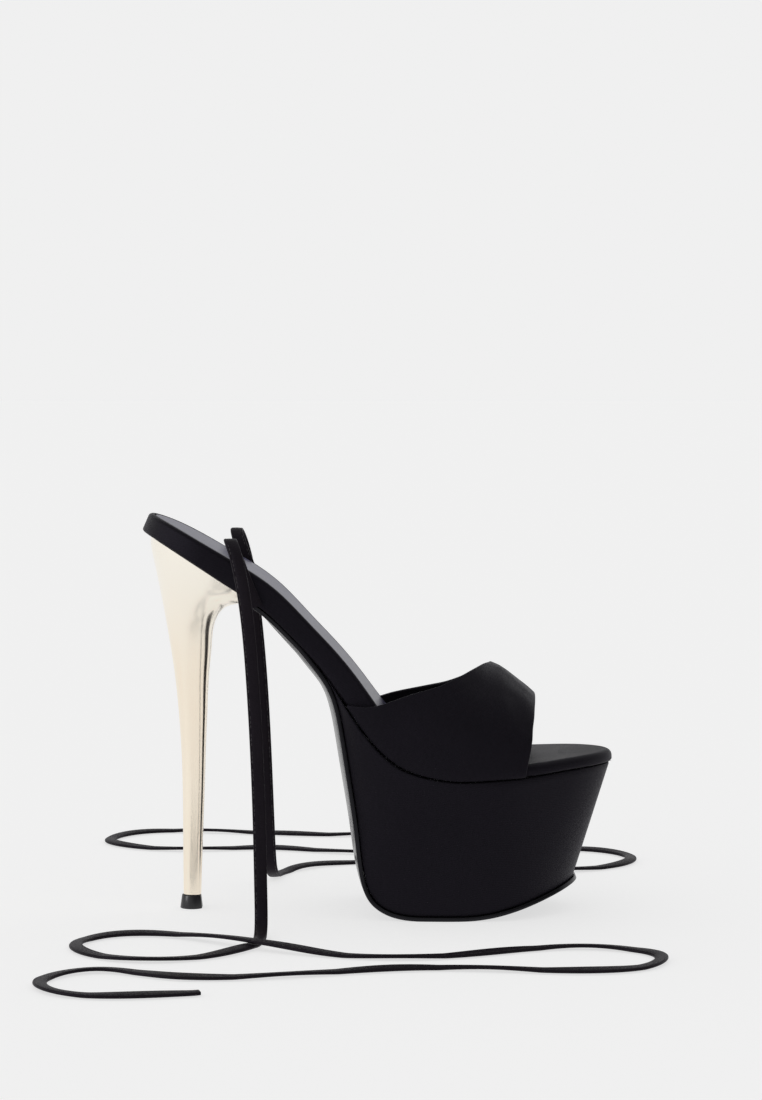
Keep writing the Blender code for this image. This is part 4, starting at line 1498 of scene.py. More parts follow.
@dataclass
class Tie:
    """One long flat tie, sewn along one edge, that folds over outwards and lies on the floor."""

    last: Last
    side: Side
    folds: Sequence[TieFold]
    width: float = 0.0056
    thickness: float = 0.0014
    exit_along: float = 0.236
    stations: int = 520
    steps_a_station: int = 4
    hanging_over: float = 0.006
    lying_under: float = 0.002
    roll: float = 0.13
    roll_length: float = 0.083
    roll_phase: float = 1.3
    sharp_over: float = 60.0
    stitch_step: float = 0.0025
    stitch_length: float = 0.0017
    stitch_width: float = 0.00034
    stitch_height: float = 0.00022
    stitch_segments: int = 6
    stitch_rings: int = 4
    stitch_across: float = -0.68
    stitch_rise: float = 0.86
    stitch_sharp_over: float = 80.0
    centres: list[Vector] = field(init=False)
    ways: list[Vector] = field(init=False)
    faces: list[Vector] = field(init=False)

    @property
    def node(self) -> str:
        """The CAD node of this side."""
        return f"tie_{self.side.name.lower()}"

    @property
    def length(self) -> float:
        """Length of the tie's middle line."""
        return sum((b - a).length for a, b in zip(self.centres, self.centres[1:]))

    def __post_init__(self) -> None:
        """Settles the middle, the direction and the facing at each station, rolled a little where it lies."""
        places, rows = self.even_rows()
        self.centres, self.ways, self.faces = [], [], []
        for i, (place, row) in enumerate(zip(places, rows)):
            centre = Vector(row[:3])
            before, after = rows[max(i - 1, 0), :3], rows[min(i + 1, len(rows) - 1), :3]
            way = Vector(after - before).normalized()
            face = Vector(row[3:])
            face = (face - way * face.dot(way)).normalized()
            lying = blend(self.hanging_over, self.lying_under, centre.z)
            phase = self.roll_phase * self.side.value
            turn = lying * self.roll * math.sin(2 * math.pi * place / self.roll_length + phase)
            face = Matrix.Rotation(turn, 3, way) @ face
            centre.z = max(centre.z, self.thickness / 2 + CLEARANCE)
            centre.z += abs(math.sin(turn)) * self.width / 2
            self.centres.append(centre)
            self.ways.append(way)
            self.faces.append(face)

    def even_rows(self) -> tuple[np.ndarray, np.ndarray]:
        """Reads one smooth curve through the folds at even steps along its length.

        Returns:
            The length at each station, and rows of the middle's place and the facing there.
        """
        out = self.last.half_widths(self.exit_along)[self.side.column]
        sign = self.side.value
        folds = np.array(
            [(f.x, sign * (out + f.out), f.z, 0.0, sign * f.face_out, f.face_up) for f in self.folds]
        )
        chords = np.linalg.norm(np.diff(folds[:, :3], axis=0), axis=1)
        route = Spline(running(chords) / chords.sum(), folds)
        shares = np.linspace(0.0, 1.0, self.steps_a_station * self.stations)
        fine = np.array([route(share) for share in shares])
        runs = running(np.linalg.norm(np.diff(fine[:, :3], axis=0), axis=1))
        places = np.linspace(0.0, runs[-1], self.stations)
        return places, np.stack([np.interp(places, runs, values) for values in fine.T], axis=1)

    def surface_point(self, index: int, across: float, rise: float) -> Vector:
        """Point of the strap at one station.

        Args:
            index: which station.
            across: share of half its width.
            rise: share of half its thickness, negative under it.

        Returns:
            The point.
        """
        face = self.faces[index]
        over = face.cross(self.ways[index])
        return self.centres[index] + over * (across * self.width / 2) + face * (rise * self.thickness / 2)

    def build(self) -> Piece:
        """Lays the strap's section along its line.

        Returns:
            The strap.
        """
        upper = list(STRAP_FACE)
        flipped = [StrapPoint(p.across, -p.rise) for p in reversed(STRAP_FACE[1:])]
        section = upper + [StrapPoint(1.0, 0.0)] + flipped + upper[:1]
        rings = [[self.surface_point(i, *part) for part in section] for i in range(self.stations)]
        points = np.array(rings)
        return Bench.wrap(f"{self.node}_strap", points, cloth_over_rings(points), self.sharp_over)

    def stitch(self) -> tuple[list[Vector], list[tuple[int, ...]]]:
        """Shapes one stitch by hand from a sphere.

        Returns:
            Its points, and the corners of its faces.
        """
        Bench.clear()
        bpy.ops.mesh.primitive_uv_sphere_add(
            segments=self.stitch_segments, ring_count=self.stitch_rings, radius=0.5
        )
        model = bpy.context.object
        bpy.ops.object.mode_set(mode="EDIT")
        bpy.ops.mesh.select_all(action="SELECT")
        bpy.ops.transform.rotate(value=math.pi / 2, orient_axis="Y", center_override=(0.0, 0.0, 0.0))
        bpy.ops.transform.resize(value=(self.stitch_length, self.stitch_width, self.stitch_height))
        bpy.ops.object.mode_set(mode="OBJECT")
        corners = [vertex.co.copy() for vertex in model.data.vertices]
        sides = [tuple(face.vertices) for face in model.data.polygons]
        bpy.data.objects.remove(model)
        return corners, sides

    def sew(self) -> Piece:
        """Sets copies of one stitch along both faces of the sewn edge.

        Returns:
            All the stitches as one piece.
        """
        corners, sides = self.stitch()
        step = self.length / (self.stations - 1)
        points: list[Vector] = []
        polygons: list[tuple[int, ...]] = []
        for k in range(1, int(self.length / self.stitch_step) - 1):
            index = min(round(k * self.stitch_step / step), self.stations - 1)
            for up in (1.0, -1.0):
                middle = self.surface_point(index, self.stitch_across, up * self.stitch_rise)
                face = self.faces[index] * up
                turn = Matrix((self.ways[index], face.cross(self.ways[index]), face)).transposed()
                start = len(points)
                points += [middle + turn @ corner for corner in corners]
                polygons += [tuple(start + v for v in side) for side in sides]
        mesh = bpy.data.meshes.new(f"{self.node}_stitches")
        mesh.from_pydata(points, [], polygons)
        stitches = bpy.data.objects.new(mesh.name, mesh)
        bpy.context.scene.collection.objects.link(stitches)
        return Bench.smooth(stitches, self.stitch_sharp_over)

    def dress(self, satin: Material, thread: Material) -> list[Piece]:
        """Args:
            satin: the strap's cloth.
            thread: the stitches' thread.

        Returns:
            The new pieces.
        """
        strap = Bench.dress(self.build(), [satin], Slot.SATIN, self.node)
        stitches = Bench.dress(self.sew(), [thread], Slot.SATIN)
        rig.cord(
            strap,
            exit=self.centres[0],
            length=self.length,
            diameter=self.width,
            far_end="bare",
            stiffness="limp",
            lay="loose",
            path=self.centres,
            with_pieces=[stitches],
        )
        return [strap, stitches]


# Footbed and sock


@dataclass
class FootbedWrap:
    """The footbed board in its satin wrap, with a rolled edge and a shallow pocket for the sock."""

    last: Last
    stations: int = 150
    edge_radius: float = 0.0018
    edge_points: int = 7
    side_depth: float = 0.58
    foot_radius: float = 0.0010
    foot_points: int = 4
    pocket_inset: float = 0.0023
    pocket_depth: float = 0.0014
    pocket_end: float = 0.770
    pocket_fade: float = 0.004
    pocket_shares: tuple[float, ...] = (1.0, 0.75, 0.5, 0.25, 0.08, 0.0)
    rim_step: float = 0.0002
    rim_depth: float = 0.08
    underside_shares: tuple[float, ...] = (0.15, 0.4, 0.7, 1.0)
    spine_stop: float = 0.024
    toe_lift: float = 0.0010
    lift_start: float = 0.775
    lift_end: float = 0.835
    cloth_row: int = 9
    sharp_over: float = 38.0

    def lift(self, along: float) -> float:
        """How far the padded toe rises at a station."""
        return self.toe_lift * blend(self.lift_start, self.lift_end, along)

    def pocket(self, along: float) -> float:
        """Depth of the pocket at a station."""
        return self.pocket_depth * (1 - blend(self.pocket_end, self.pocket_end + self.pocket_fade, along))

    def over(self, plan: np.ndarray, height: float, deep: float = 0.0, bulge: float = 0.0) -> Point:
        """Point over or on the board.

        Args:
            plan: its place in the plan, as (distance from the heel's end, y).
            height: how far over the board's top, before it goes down by the next two.
            deep: share of the board's thickness.
            bulge: share of the underside's crown.

        Returns:
            The point as (x, y, z).
        """
        along = self.last.station(plan[0])
        down = deep * self.last.thickness(along) + bulge * self.last.crown(along)
        return self.last.place(along, plan[1], height - down)

    def column(self, outline: Outline, index: int) -> list[Point]:
        """Points over the board at one place of its outline, from the top's middle to the underside's.

        Args:
            outline: the board's outline.
            index: which outline point.

        Returns:
            The column of points.
        """
        edge, inward = outline.plan[index], outline.inward[index]
        spine = outline.spine(index, self.spine_stop)
        rise = self.lift(edge[0] / self.last.length)
        rim = edge + inward * (self.pocket_inset + rise)
        points = []
        for share in self.pocket_shares:
            plan = rim + (spine - rim) * share
            here = plan[0] / self.last.length
            points.append(self.over(plan, self.lift(here) - self.pocket(here)))
        sunk = self.pocket(rim[0] / self.last.length) * self.rim_depth
        points.append(self.over(rim - inward * self.rim_step, rise - sunk))
        radius = self.edge_radius + rise
        for inset, drop in quarter(self.edge_points):
            points.append(self.over(edge + inward * (radius * inset), rise - radius * drop))
        points.append(self.over(edge, 0.0, self.side_depth))
        for height, inset in quarter(self.foot_points):
            plan = edge + inward * (self.foot_radius * inset)
            points.append(self.over(plan, self.foot_radius * height, 1.0))
        foot = edge + inward * self.foot_radius
        for share in self.underside_shares:
            points.append(self.over(foot + (spine - foot) * share, 0.0, 1.0, 1 - (1 - share) ** 2))
        return points

    def build(self) -> Piece:
        """Wraps the cloth round the board.

        Returns:
            The wrap.
        """
        points = Outline(self.last, eased(self.stations), self.last.half_widths).stand(self.column)
        cloth = cloth_round_outline(points, self.cloth_row)
        return Bench.wrap("footbed_wrap", points, cloth, self.sharp_over)

    def dress(self, satin: Material) -> list[Piece]:
        """Builds the wrap and covers it in satin."""
        return [Bench.dress(self.build(), [satin], Slot.SATIN, "footbed")]


@dataclass
class SockLiner:
    """The coated sock that lies in the footbed's pocket."""

    last: Last
    stations: int = 120
    inset: float = 0.0026
    top: float = -0.0001
    thickness: float = 0.0011
    top_shares: tuple[float, ...] = (1.0, 0.7, 0.4, 0.15)
    edge_radius: float = 0.00045
    edge_points: int = 5
    underside_shares: tuple[float, ...] = (0.0, 0.3, 1.0)
    end_along: float = 0.769
    front_radius: float = 0.018
    spine_stop: float = 0.020
    cloth_row: int = 8
    sharp_over: float = 45.0

    def widths(self, along: float) -> Pair:
        """Half widths of the sock's outline.

        Args:
            along: the station.

        Returns:
            (lateral, medial) half widths.
        """
        front = round_end((self.end_along - along) * self.last.length, self.front_radius)
        lateral, medial = self.last.half_widths(along, self.inset)
        return lateral * front, medial * front

    def column(self, outline: Outline, index: int) -> list[Point]:
        """Points over the sock at one place of its outline.

        Args:
            outline: the sock's outline.
            index: which outline point.

        Returns:
            The column of points.
        """
        edge, inward = outline.plan[index], outline.inward[index]
        spine = outline.spine(index, self.spine_stop)
        shell = edge + inward * self.edge_radius
        plans = [(shell + (spine - shell) * share, self.top) for share in self.top_shares]
        for inset, drop in quarter(self.edge_points):
            plan = edge + inward * (self.edge_radius * inset)
            plans.append((plan, self.top - self.edge_radius * drop))
        underside = self.top - self.thickness
        plans += [(edge + (spine - edge) * share, underside) for share in self.underside_shares]
        return [self.last.place(plan[0] / self.last.length, plan[1], height) for plan, height in plans]

    def build(self) -> Piece:
        """Lays the sock in its pocket.

        Returns:
            The sock.
        """
        first = self.inset / self.last.length
        stations = first + (self.end_along - first) * eased(self.stations)
        points = Outline(self.last, stations, self.widths).stand(self.column)
        cloth = cloth_round_outline(points, self.cloth_row)
        return Bench.wrap("sock_liner_sheet", points, cloth, self.sharp_over)

    def dress(self, leather: Material) -> list[Piece]:
        """Builds the sock and coats it."""
        return [Bench.dress(self.build(), [leather], Slot.SOCK, "sock_liner")]


# Outsole and platform


@dataclass
class Outsole:
    """One rubber sheet along the waist, down the platform's back and under it to the toe."""

    line: SoleLine
    stations: int = 240
    toe_stations: int = 60
    toe_share: float = 0.86
    underside_shares: tuple[float, ...] = (0.0, 0.2, 0.4, 0.6, 0.8)
    bottom_radius: float = 0.0005
    bottom_points: int = 4
    top_radius: float = 0.0003
    top_points: int = 3
    top_shares: tuple[float, ...] = (0.7, 0.35, 0.0)
    narrow_share: float = 0.3
    sharp_over: float = 42.0

    def ring(self, share: float) -> list[Point]:
        """One closed section of the sheet.

        Args:
            share: place along the sole's line.

        Returns:
            Points from the underside's middle round the lateral edge and back round the medial one.
        """
        crown, thick = self.line.crown(share), self.line.thickness
        sides = []
        for sign, half in zip((-1, 1), self.line.half_widths(share)):
            low = min(self.bottom_radius, self.narrow_share * half)
            high = min(self.top_radius, self.narrow_share * half)
            rows = [(half * s, -crown * (1 - s * s)) for s in self.underside_shares]
            for inset, rise in quarter(self.bottom_points):
                rows.append((half - low * inset, self.bottom_radius * rise))
            for drop, inset in quarter(self.top_points):
                rows.append((half - high * inset, thick - self.top_radius * drop))
            rows += [(half * s, thick - crown * (1 - s * s)) for s in self.top_shares]
            sides.append([self.line.place(share, sign * y, h) for y, h in rows])
        return sides[0] + sides[1][-2::-1]

    def build(self) -> Piece:
        """Lays the sheet along the sole's line.

        Returns:
            The sheet.
        """
        straight = np.linspace(0.0, self.toe_share, self.stations)
        toe = self.toe_share + (1 - self.toe_share) * eased(self.toe_stations, ease_low=False)
        points = np.array([self.ring(float(share)) for share in [*straight, *toe[1:]]])
        return Bench.wrap("outsole_sheet", points, cloth_over_rings(points), self.sharp_over)

    def dress(self, rubber: Material) -> list[Piece]:
        """Builds the sheet in rubber."""
        return [Bench.dress(self.build(), [rubber], Slot.SOLE, "outsole")]


class PlatformSection(NamedTuple):
    """top: footbed station. foot: share of the sole's line past the split.

    ledge: how far it stands out past the footbed, as a share of the band's wall.
    """

    top: float
    foot: float
    ledge: float


PLATFORM = (
    PlatformSection(0.425, 0.000, 0.00),
    PlatformSection(0.440, 0.045, 0.20),
    PlatformSection(0.456, 0.090, 0.70),
    PlatformSection(0.474, 0.145, 1.15),
    PlatformSection(0.496, 0.225, 1.30),
    PlatformSection(0.524, 0.330, 1.30),
    PlatformSection(0.553, 0.435, 1.30),
    PlatformSection(0.587, 0.528, 1.30),
    PlatformSection(0.631, 0.612, 1.30),
    PlatformSection(0.689, 0.693, 1.30),
    PlatformSection(0.762, 0.774, 1.20),
    PlatformSection(0.834, 0.848, 0.05),
    PlatformSection(0.907, 0.922, -0.30),
    PlatformSection(0.961, 0.970, -0.40),
    PlatformSection(1.000, 1.000, -0.50),
)


class JointRow(NamedTuple):
    """x: place. drop: how far the joint of band and platform lies under the footbed.

    gap: how wide it opens.
    """

    x: float
    drop: float
    gap: float


JOINT = (
    JointRow(-0.022, 0.0000, 0.0000),
    JointRow(-0.014, 0.0006, 0.0004),
    JointRow(-0.008, 0.0012, 0.0006),
    JointRow(0.000, 0.0018, 0.0007),
    JointRow(0.0086, 0.0016, 0.0006),
    JointRow(0.016, 0.0008, 0.0004),
    JointRow(0.024, 0.0001, 0.0003),
    JointRow(0.060, 0.0001, 0.0002),
    JointRow(0.100, 0.0002, 0.0001),
)


def joint_drop(x: float) -> float:
    """How far the joint lies under the footbed at x."""
    return float(np.interp(x, [row.x for row in JOINT], [row.drop for row in JOINT]))


def joint_gap(x: float) -> float:
    """How wide the joint opens at x."""
    return float(np.interp(x, [row.x for row in JOINT], [row.gap for row in JOINT]))


@dataclass
class PlatformWrap:
    """The deep platform in its satin wrap, with ruled walls that lean in towards the sole."""

    last: Last
    line: SoleLine
    stations: int = 190
    wall_rows: int = 26
    band_wall: float = 0.0022
    edge_radius: float = 0.0010
    narrow_share: float = 0.3
    top_shoulder: float = 0.65
    top_shoulder_drop: float = 0.2
    foot_shoulder: float = 0.6
    wall_end: float = 0.5
    fullness: float = 0.00035
    full_from: float = 0.010
    toe_from: float = 0.86
    toe_to: float = 0.96
    sharp_over: float = 38.0
    foot_of: Spline = field(init=False)
    ledge_of: Spline = field(init=False)

    def __post_init__(self) -> None:
        """Draws the curves of where each ruling ends and of how far the platform stands out."""
        self.foot_of = column(PLATFORM, "top", "foot")
        self.ledge_of = column(PLATFORM, "top", "ledge")

    def foot_share(self, station: float) -> float:
        """Where a station's ruling ends, led round the toe with the sole's own end.

        Args:
            station: the footbed's station.

        Returns:
            The share of the sole's line.
        """
        last, line = self.last, self.line
        share = line.split + (1 - line.split) * float(self.foot_of(station))
        turned = line.lip + line.toe_radius * (1 - station) * last.length / last.toe_radius
        share += (1 - turned / line.length - share) * blend(self.toe_from, self.toe_to, station)
        return min(share, 1 - line.lip / line.length)

    def column(self, outline: Outline, index: int) -> list[np.ndarray]:
        """Points down the wall at one place of the platform's outline.

        Args:
            outline: the footbed's outline from the split on.
            index: which outline point.

        Returns:
            The column from the top's middle down the wall to the underside's middle.
        """
        last, line = self.last, self.line
        edge, inward = outline.plan[index], outline.inward[index]
        station = edge[0] / last.length
        share = self.foot_share(station)
        side = Side.LATERAL if index < len(outline.stations) else Side.MEDIAL
        plan = edge - inward * (float(self.ledge_of(station)) * self.band_wall)
        along = last.station(plan[0])
        deep = -(last.thickness(along) + CLEARANCE)
        lift = line.thickness + CLEARANCE
        low = line.half_widths(share, line.lip)[side.column]
        head = np.array(last.place(along, plan[1], deep))
        foot = np.array(line.place(share, side.value * max(low, 0.0), lift))
        wall = float(np.linalg.norm(foot - head))
        roll = min(self.edge_radius, self.narrow_share * wall)
        inner = plan + inward * roll
        head_in = np.array(last.place(last.station(inner[0]), inner[1], deep))
        foot_in = np.array(line.place(share, side.value * max(low - roll, 0.0), lift))
        top_spine = np.array(last.place(station, 0.0, deep - last.crown(station)))
        foot_spine = np.array(line.place(share, 0.0, lift - line.crown(share)))
        sunk = np.array([0.0, 0.0, joint_drop(float(head[0])) + joint_gap(float(head[0]))])
        head, head_in, top_spine = head - sunk, head_in - sunk, top_spine - sunk
        shoulder = head_in * (1 - self.top_shoulder) + head * self.top_shoulder
        points = [top_spine, head_in, shoulder + (foot - head) * self.top_shoulder_drop * roll / wall]
        out = np.array([0.0, float(side.value), 0.0])
        for down in np.linspace(roll / wall, 1 - self.wall_end * roll / wall, self.wall_rows):
            bulge = self.fullness * math.sin(math.pi * down) * blend(0.0, self.full_from, low)
            points.append(head + (foot - head) * down + out * bulge)
        points += [foot * self.foot_shoulder + foot_in * (1 - self.foot_shoulder), foot_in, foot_spine]
        return points

    def build(self) -> Piece:
        """Wraps the cloth round the platform, from the split round the toe and back.

        Returns:
            The wrap.
        """
        start = PLATFORM[0].top
        stations = start + (1 - start) * eased(self.stations, ease_low=False)
        points = Outline(self.last, stations, self.last.half_widths, closed=False).stand(self.column)
        cloth = cloth_round_outline(points, points.shape[1] // 2)
        return Bench.wrap("platform_wrap", points, cloth, self.sharp_over)

    def dress(self, satin: Material) -> list[Piece]:
        """Builds the wrap and covers it in satin."""
        return [Bench.dress(self.build(), [satin], Slot.SATIN, "platform")]


# Band


class BandTop(NamedTuple):
    """Height of the band's ridge over the toes, as a share of the throat's height."""

    along: float
    height: float


BAND_TOP = (
    BandTop(0.400, 2.299),
    BandTop(0.493, 1.892),
    BandTop(0.566, 1.582),
    BandTop(0.639, 1.310),
    BandTop(0.688, 1.144),
    BandTop(0.717, 1.046),
    BandTop(0.737, 0.990),
    BandTop(0.755, 0.953),
    BandTop(0.771, 0.906),
    BandTop(0.798, 0.806),
    BandTop(0.824, 0.705),
    BandTop(0.837, 0.648),
    BandTop(0.860, 0.570),
)


class BandEdge(NamedTuple):
    """around: 0 at the feather line, 1 at the ridge. The others are footbed stations."""

    around: float
    rear_lateral: float
    rear_medial: float
    front: float


BAND_EDGES = (
    BandEdge(0.000, 0.424, 0.432, 0.806),
    BandEdge(0.083, 0.467, 0.479, 0.811),
    BandEdge(0.185, 0.515, 0.531, 0.817),
    BandEdge(0.290, 0.566, 0.597, 0.821),
    BandEdge(0.380, 0.612, 0.648, 0.823),
    BandEdge(0.480, 0.650, 0.685, 0.826),
    BandEdge(0.583, 0.678, 0.707, 0.828),
    BandEdge(0.674, 0.697, 0.721, 0.830),
    BandEdge(0.838, 0.720, 0.735, 0.833),
    BandEdge(1.000, 0.737, 0.737, 0.835),
)


class Crease(NamedTuple):
    """A soft fold of the band from one place to another. depth is negative for a ridge."""

    side: Side
    from_along: float
    from_around: float
    to_along: float
    to_around: float
    depth: float
    width: float


CREASES = (
    Crease(Side.LATERAL, 0.505, 0.20, 0.640, 0.42, 0.00050, 0.0060),
    Crease(Side.LATERAL, 0.560, 0.12, 0.700, 0.26, -0.00045, 0.0070),
    Crease(Side.LATERAL, 0.640, 0.62, 0.720, 0.50, 0.00040, 0.0050),
    Crease(Side.LATERAL, 0.745, 0.93, 0.820, 0.80, -0.00035, 0.0035),
    Crease(Side.LATERAL, 0.770, 0.62, 0.815, 0.30, 0.00045, 0.0050),
    Crease(Side.LATERAL, 0.812, 0.70, 0.806, 0.15, -0.00030, 0.0030),
    Crease(Side.MEDIAL, 0.540, 0.22, 0.660, 0.40, 0.00050, 0.0060),
    Crease(Side.MEDIAL, 0.600, 0.12, 0.720, 0.24, -0.00040, 0.0070),
    Crease(Side.MEDIAL, 0.770, 0.66, 0.812, 0.32, 0.00045, 0.0050),
)


@dataclass
class ForefootBand:
    """The wide open-toed band, one soft wall with turned edges, a lining and its resting creases."""

    last: Last
    wall: float = 0.0020
    reach: float = 0.0027
    throat_height: float = 0.0428
    fullness: float = 2.3
    ridge_shift: float = 0.0030
    columns_a_side: int = 64
    rows: int = 46
    half_girth: float = 0.062
    crease_overrun: float = 0.15
    crease_fade: float = 0.2
    turned_edge: float = 0.0048
    turned_before: float = 0.0003
    turned_after: float = 0.0004
    turned_step: float = 0.00004
    tuck: float = 0.0006
    tuck_around: float = 0.020
    edge_rows: tuple[float, ...] = (0.0, 0.0008, 0.0020, 0.0034, 0.0043, 0.0046, 0.0050, 0.0053, 0.0062)
    edge_bevel: float = 0.00075
    sharp_over: float = 50.0
    seam_from: float = 0.40
    seam_to: float = 0.95
    seam_stations: int = 420
    seam_x: np.ndarray = field(init=False)
    seam_rows: np.ndarray = field(init=False)
    top_of: Spline = field(init=False)
    edges: dict[str, Spline] = field(init=False)

    def __post_init__(self) -> None:
        """Draws the feather line and the curves of the two tables."""
        stations = np.linspace(self.seam_from, self.seam_to, self.seam_stations)
        seams = [self.last.place(a, 0.0, -self.last.thickness(a)) for a in stations]
        self.seam_x = np.array([p[0] for p in seams])
        halves = [self.last.half_widths(a) for a in stations]
        rows = [(p[2], w[0] + self.reach, w[1] + self.reach) for p, w in zip(seams, halves)]
        self.seam_rows = np.array(rows)
        self.top_of = column(BAND_TOP, "along", "height")
        self.edges = {name: column(BAND_EDGES, "around", name) for name in BandEdge._fields[1:]}

    def point(self, along: float, around: float, side: Side) -> np.ndarray:
        """Point on the band's outside before its creases.

        Args:
            along: footbed station.
            around: 0 at the feather line, 1 at the ridge.
            side: which side of the foot.

        Returns:
            The point.
        """
        x = self.last.x(along)
        base, *halves = (float(np.interp(x, self.seam_x, values)) for values in self.seam_rows.T)
        base -= joint_drop(x)
        height = self.last.toe_height + self.throat_height * float(self.top_of(along)) - base
        angle = around * math.pi / 2
        power = 2 / self.fullness
        spread = max(math.cos(angle), 0.0) ** power
        half = halves[side.column] - self.tuck * max(1 - around / self.tuck_around, 0.0)
        y = self.ridge_shift + (side.value * half - self.ridge_shift) * spread
        return np.array((x, y, base + height * math.sin(angle) ** power))

    def fold(self, along: float, around: float, side: Side, from_edge: float) -> float:
        """How far the surface sinks at a place, from its creases and its turned edges.

        Args:
            along: footbed station.
            around: 0 at the feather line, 1 at the ridge.
            side: which side of the foot.
            from_edge: distance to the nearer of the band's two free edges.

        Returns:
            The depth, negative where it rises.
        """
        here = np.array((along * self.last.length, around * self.half_girth))
        over, fade = self.crease_overrun, self.crease_fade
        depth = 0.0
        for crease in CREASES:
            if crease.side is not side:
                continue
            start = np.array((crease.from_along * self.last.length, crease.from_around * self.half_girth))
            end = np.array((crease.to_along * self.last.length, crease.to_around * self.half_girth))
            run = end - start
            share = float(np.clip((here - start) @ run / (run @ run), -over, 1 + over))
            miss = float(np.linalg.norm(here - start - run * share)) / crease.width
            strength = blend(-over, fade, share) * (1 - blend(1 - fade, 1 + over, share))
            depth += crease.depth * math.exp(-miss * miss) * strength
        inner = blend(self.turned_edge - self.turned_before, self.turned_edge + self.turned_after, from_edge)
        return depth - (1 - inner) * self.turned_step

    def columns(self) -> np.ndarray:
        """Lays out the band's outside, with its creases.

        Returns:
            Points from the lateral feather line over the ridge to the medial one, of shape
            (columns, rows, 3).
        """
        shares = np.linspace(0.0, 1.0, self.columns_a_side)
        lateral = [(float(a), Side.LATERAL) for a in shares]
        medial = [(float(a), Side.MEDIAL) for a in shares[-2::-1]]
        margin = np.array(self.edge_rows) / self.last.length
        plain, sinks = [], []
        for around, side in lateral + medial:
            rear = float(self.edges[f"rear_{side.name.lower()}"](around))
            front = float(self.edges["front"](around))
            inner = np.linspace(rear + margin[-1], front - margin[-1], self.rows)
            alongs = [*(rear + margin[:-1]), *inner, *(front - margin[-2::-1])]
            plain.append([self.point(a, around, side) for a in alongs])
            edge_gaps = [min(a - rear, front - a) * self.last.length for a in alongs]
            sinks.append([self.fold(a, around, side, gap) for a, gap in zip(alongs, edge_gaps)])
        points = np.array(plain)
        out = np.cross(np.gradient(points, axis=1), np.gradient(points, axis=0))
        out /= np.linalg.norm(out, axis=2)[:, :, None]
        if out[self.columns_a_side - 1, points.shape[1] // 2, 2] < 0:
            out = -out
        return points - out * np.array(sinks)[:, :, None]

    def build(self) -> Piece:
        """Lays the outside, gives it its wall and rounds its edges.

        Returns:
            The band.
        """
        points = self.columns()
        cloth = np.stack([lengths_along(points, 0), lengths_along(points, 1)], axis=2)
        band = Bench.lay_grid("forefoot_band", points, cloth)
        middle = band.data.polygons[len(band.data.polygons) // 2]
        if middle.normal.z < 0:
            band.data.flip_normals()
        Bench.add_modifier(
            band, "SOLIDIFY", thickness=self.wall, offset=-1.0, use_even_offset=True, material_offset=1
        )
        Bench.round_edges(band, self.edge_bevel, self.sharp_over)
        Bench.face_outwards(band)
        return Bench.smooth(band, self.sharp_over)

    def dress(self, satin: Material, lining: Material) -> list[Piece]:
        """Builds the band in satin over its lining."""
        return [Bench.dress(self.build(), [satin, lining], Slot.SATIN, "upper_band")]


# Heel


class HeelSection(NamedTuple):
    """back, front: reach from the stem's axis as shares of the seat's length.

    back_height, front_height: shares of the heel's height. half_width: share of half the seat's width.
    """

    back: float
    back_height: float
    front: float
    front_height: float
    half_width: float


HEEL = (
    HeelSection(0.391, 0.973, 0.507, 0.822, 0.93),
    HeelSection(0.356, 0.924, 0.373, 0.812, 0.82),
    HeelSection(0.318, 0.873, 0.278, 0.790, 0.68),
    HeelSection(0.278, 0.818, 0.224, 0.757, 0.55),
    HeelSection(0.227, 0.739, 0.200, 0.700, 0.43),
    HeelSection(0.176, 0.652, 0.176, 0.630, 0.342),
    HeelSection(0.133, 0.545, 0.158, 0.533, 0.277),
    HeelSection(0.107, 0.448, 0.144, 0.445, 0.238),
    HeelSection(0.093, 0.339, 0.131, 0.339, 0.210),
    HeelSection(0.089, 0.206, 0.111, 0.206, 0.188),
    HeelSection(0.087, 0.0, 0.091, 0.0, 0.172),
)


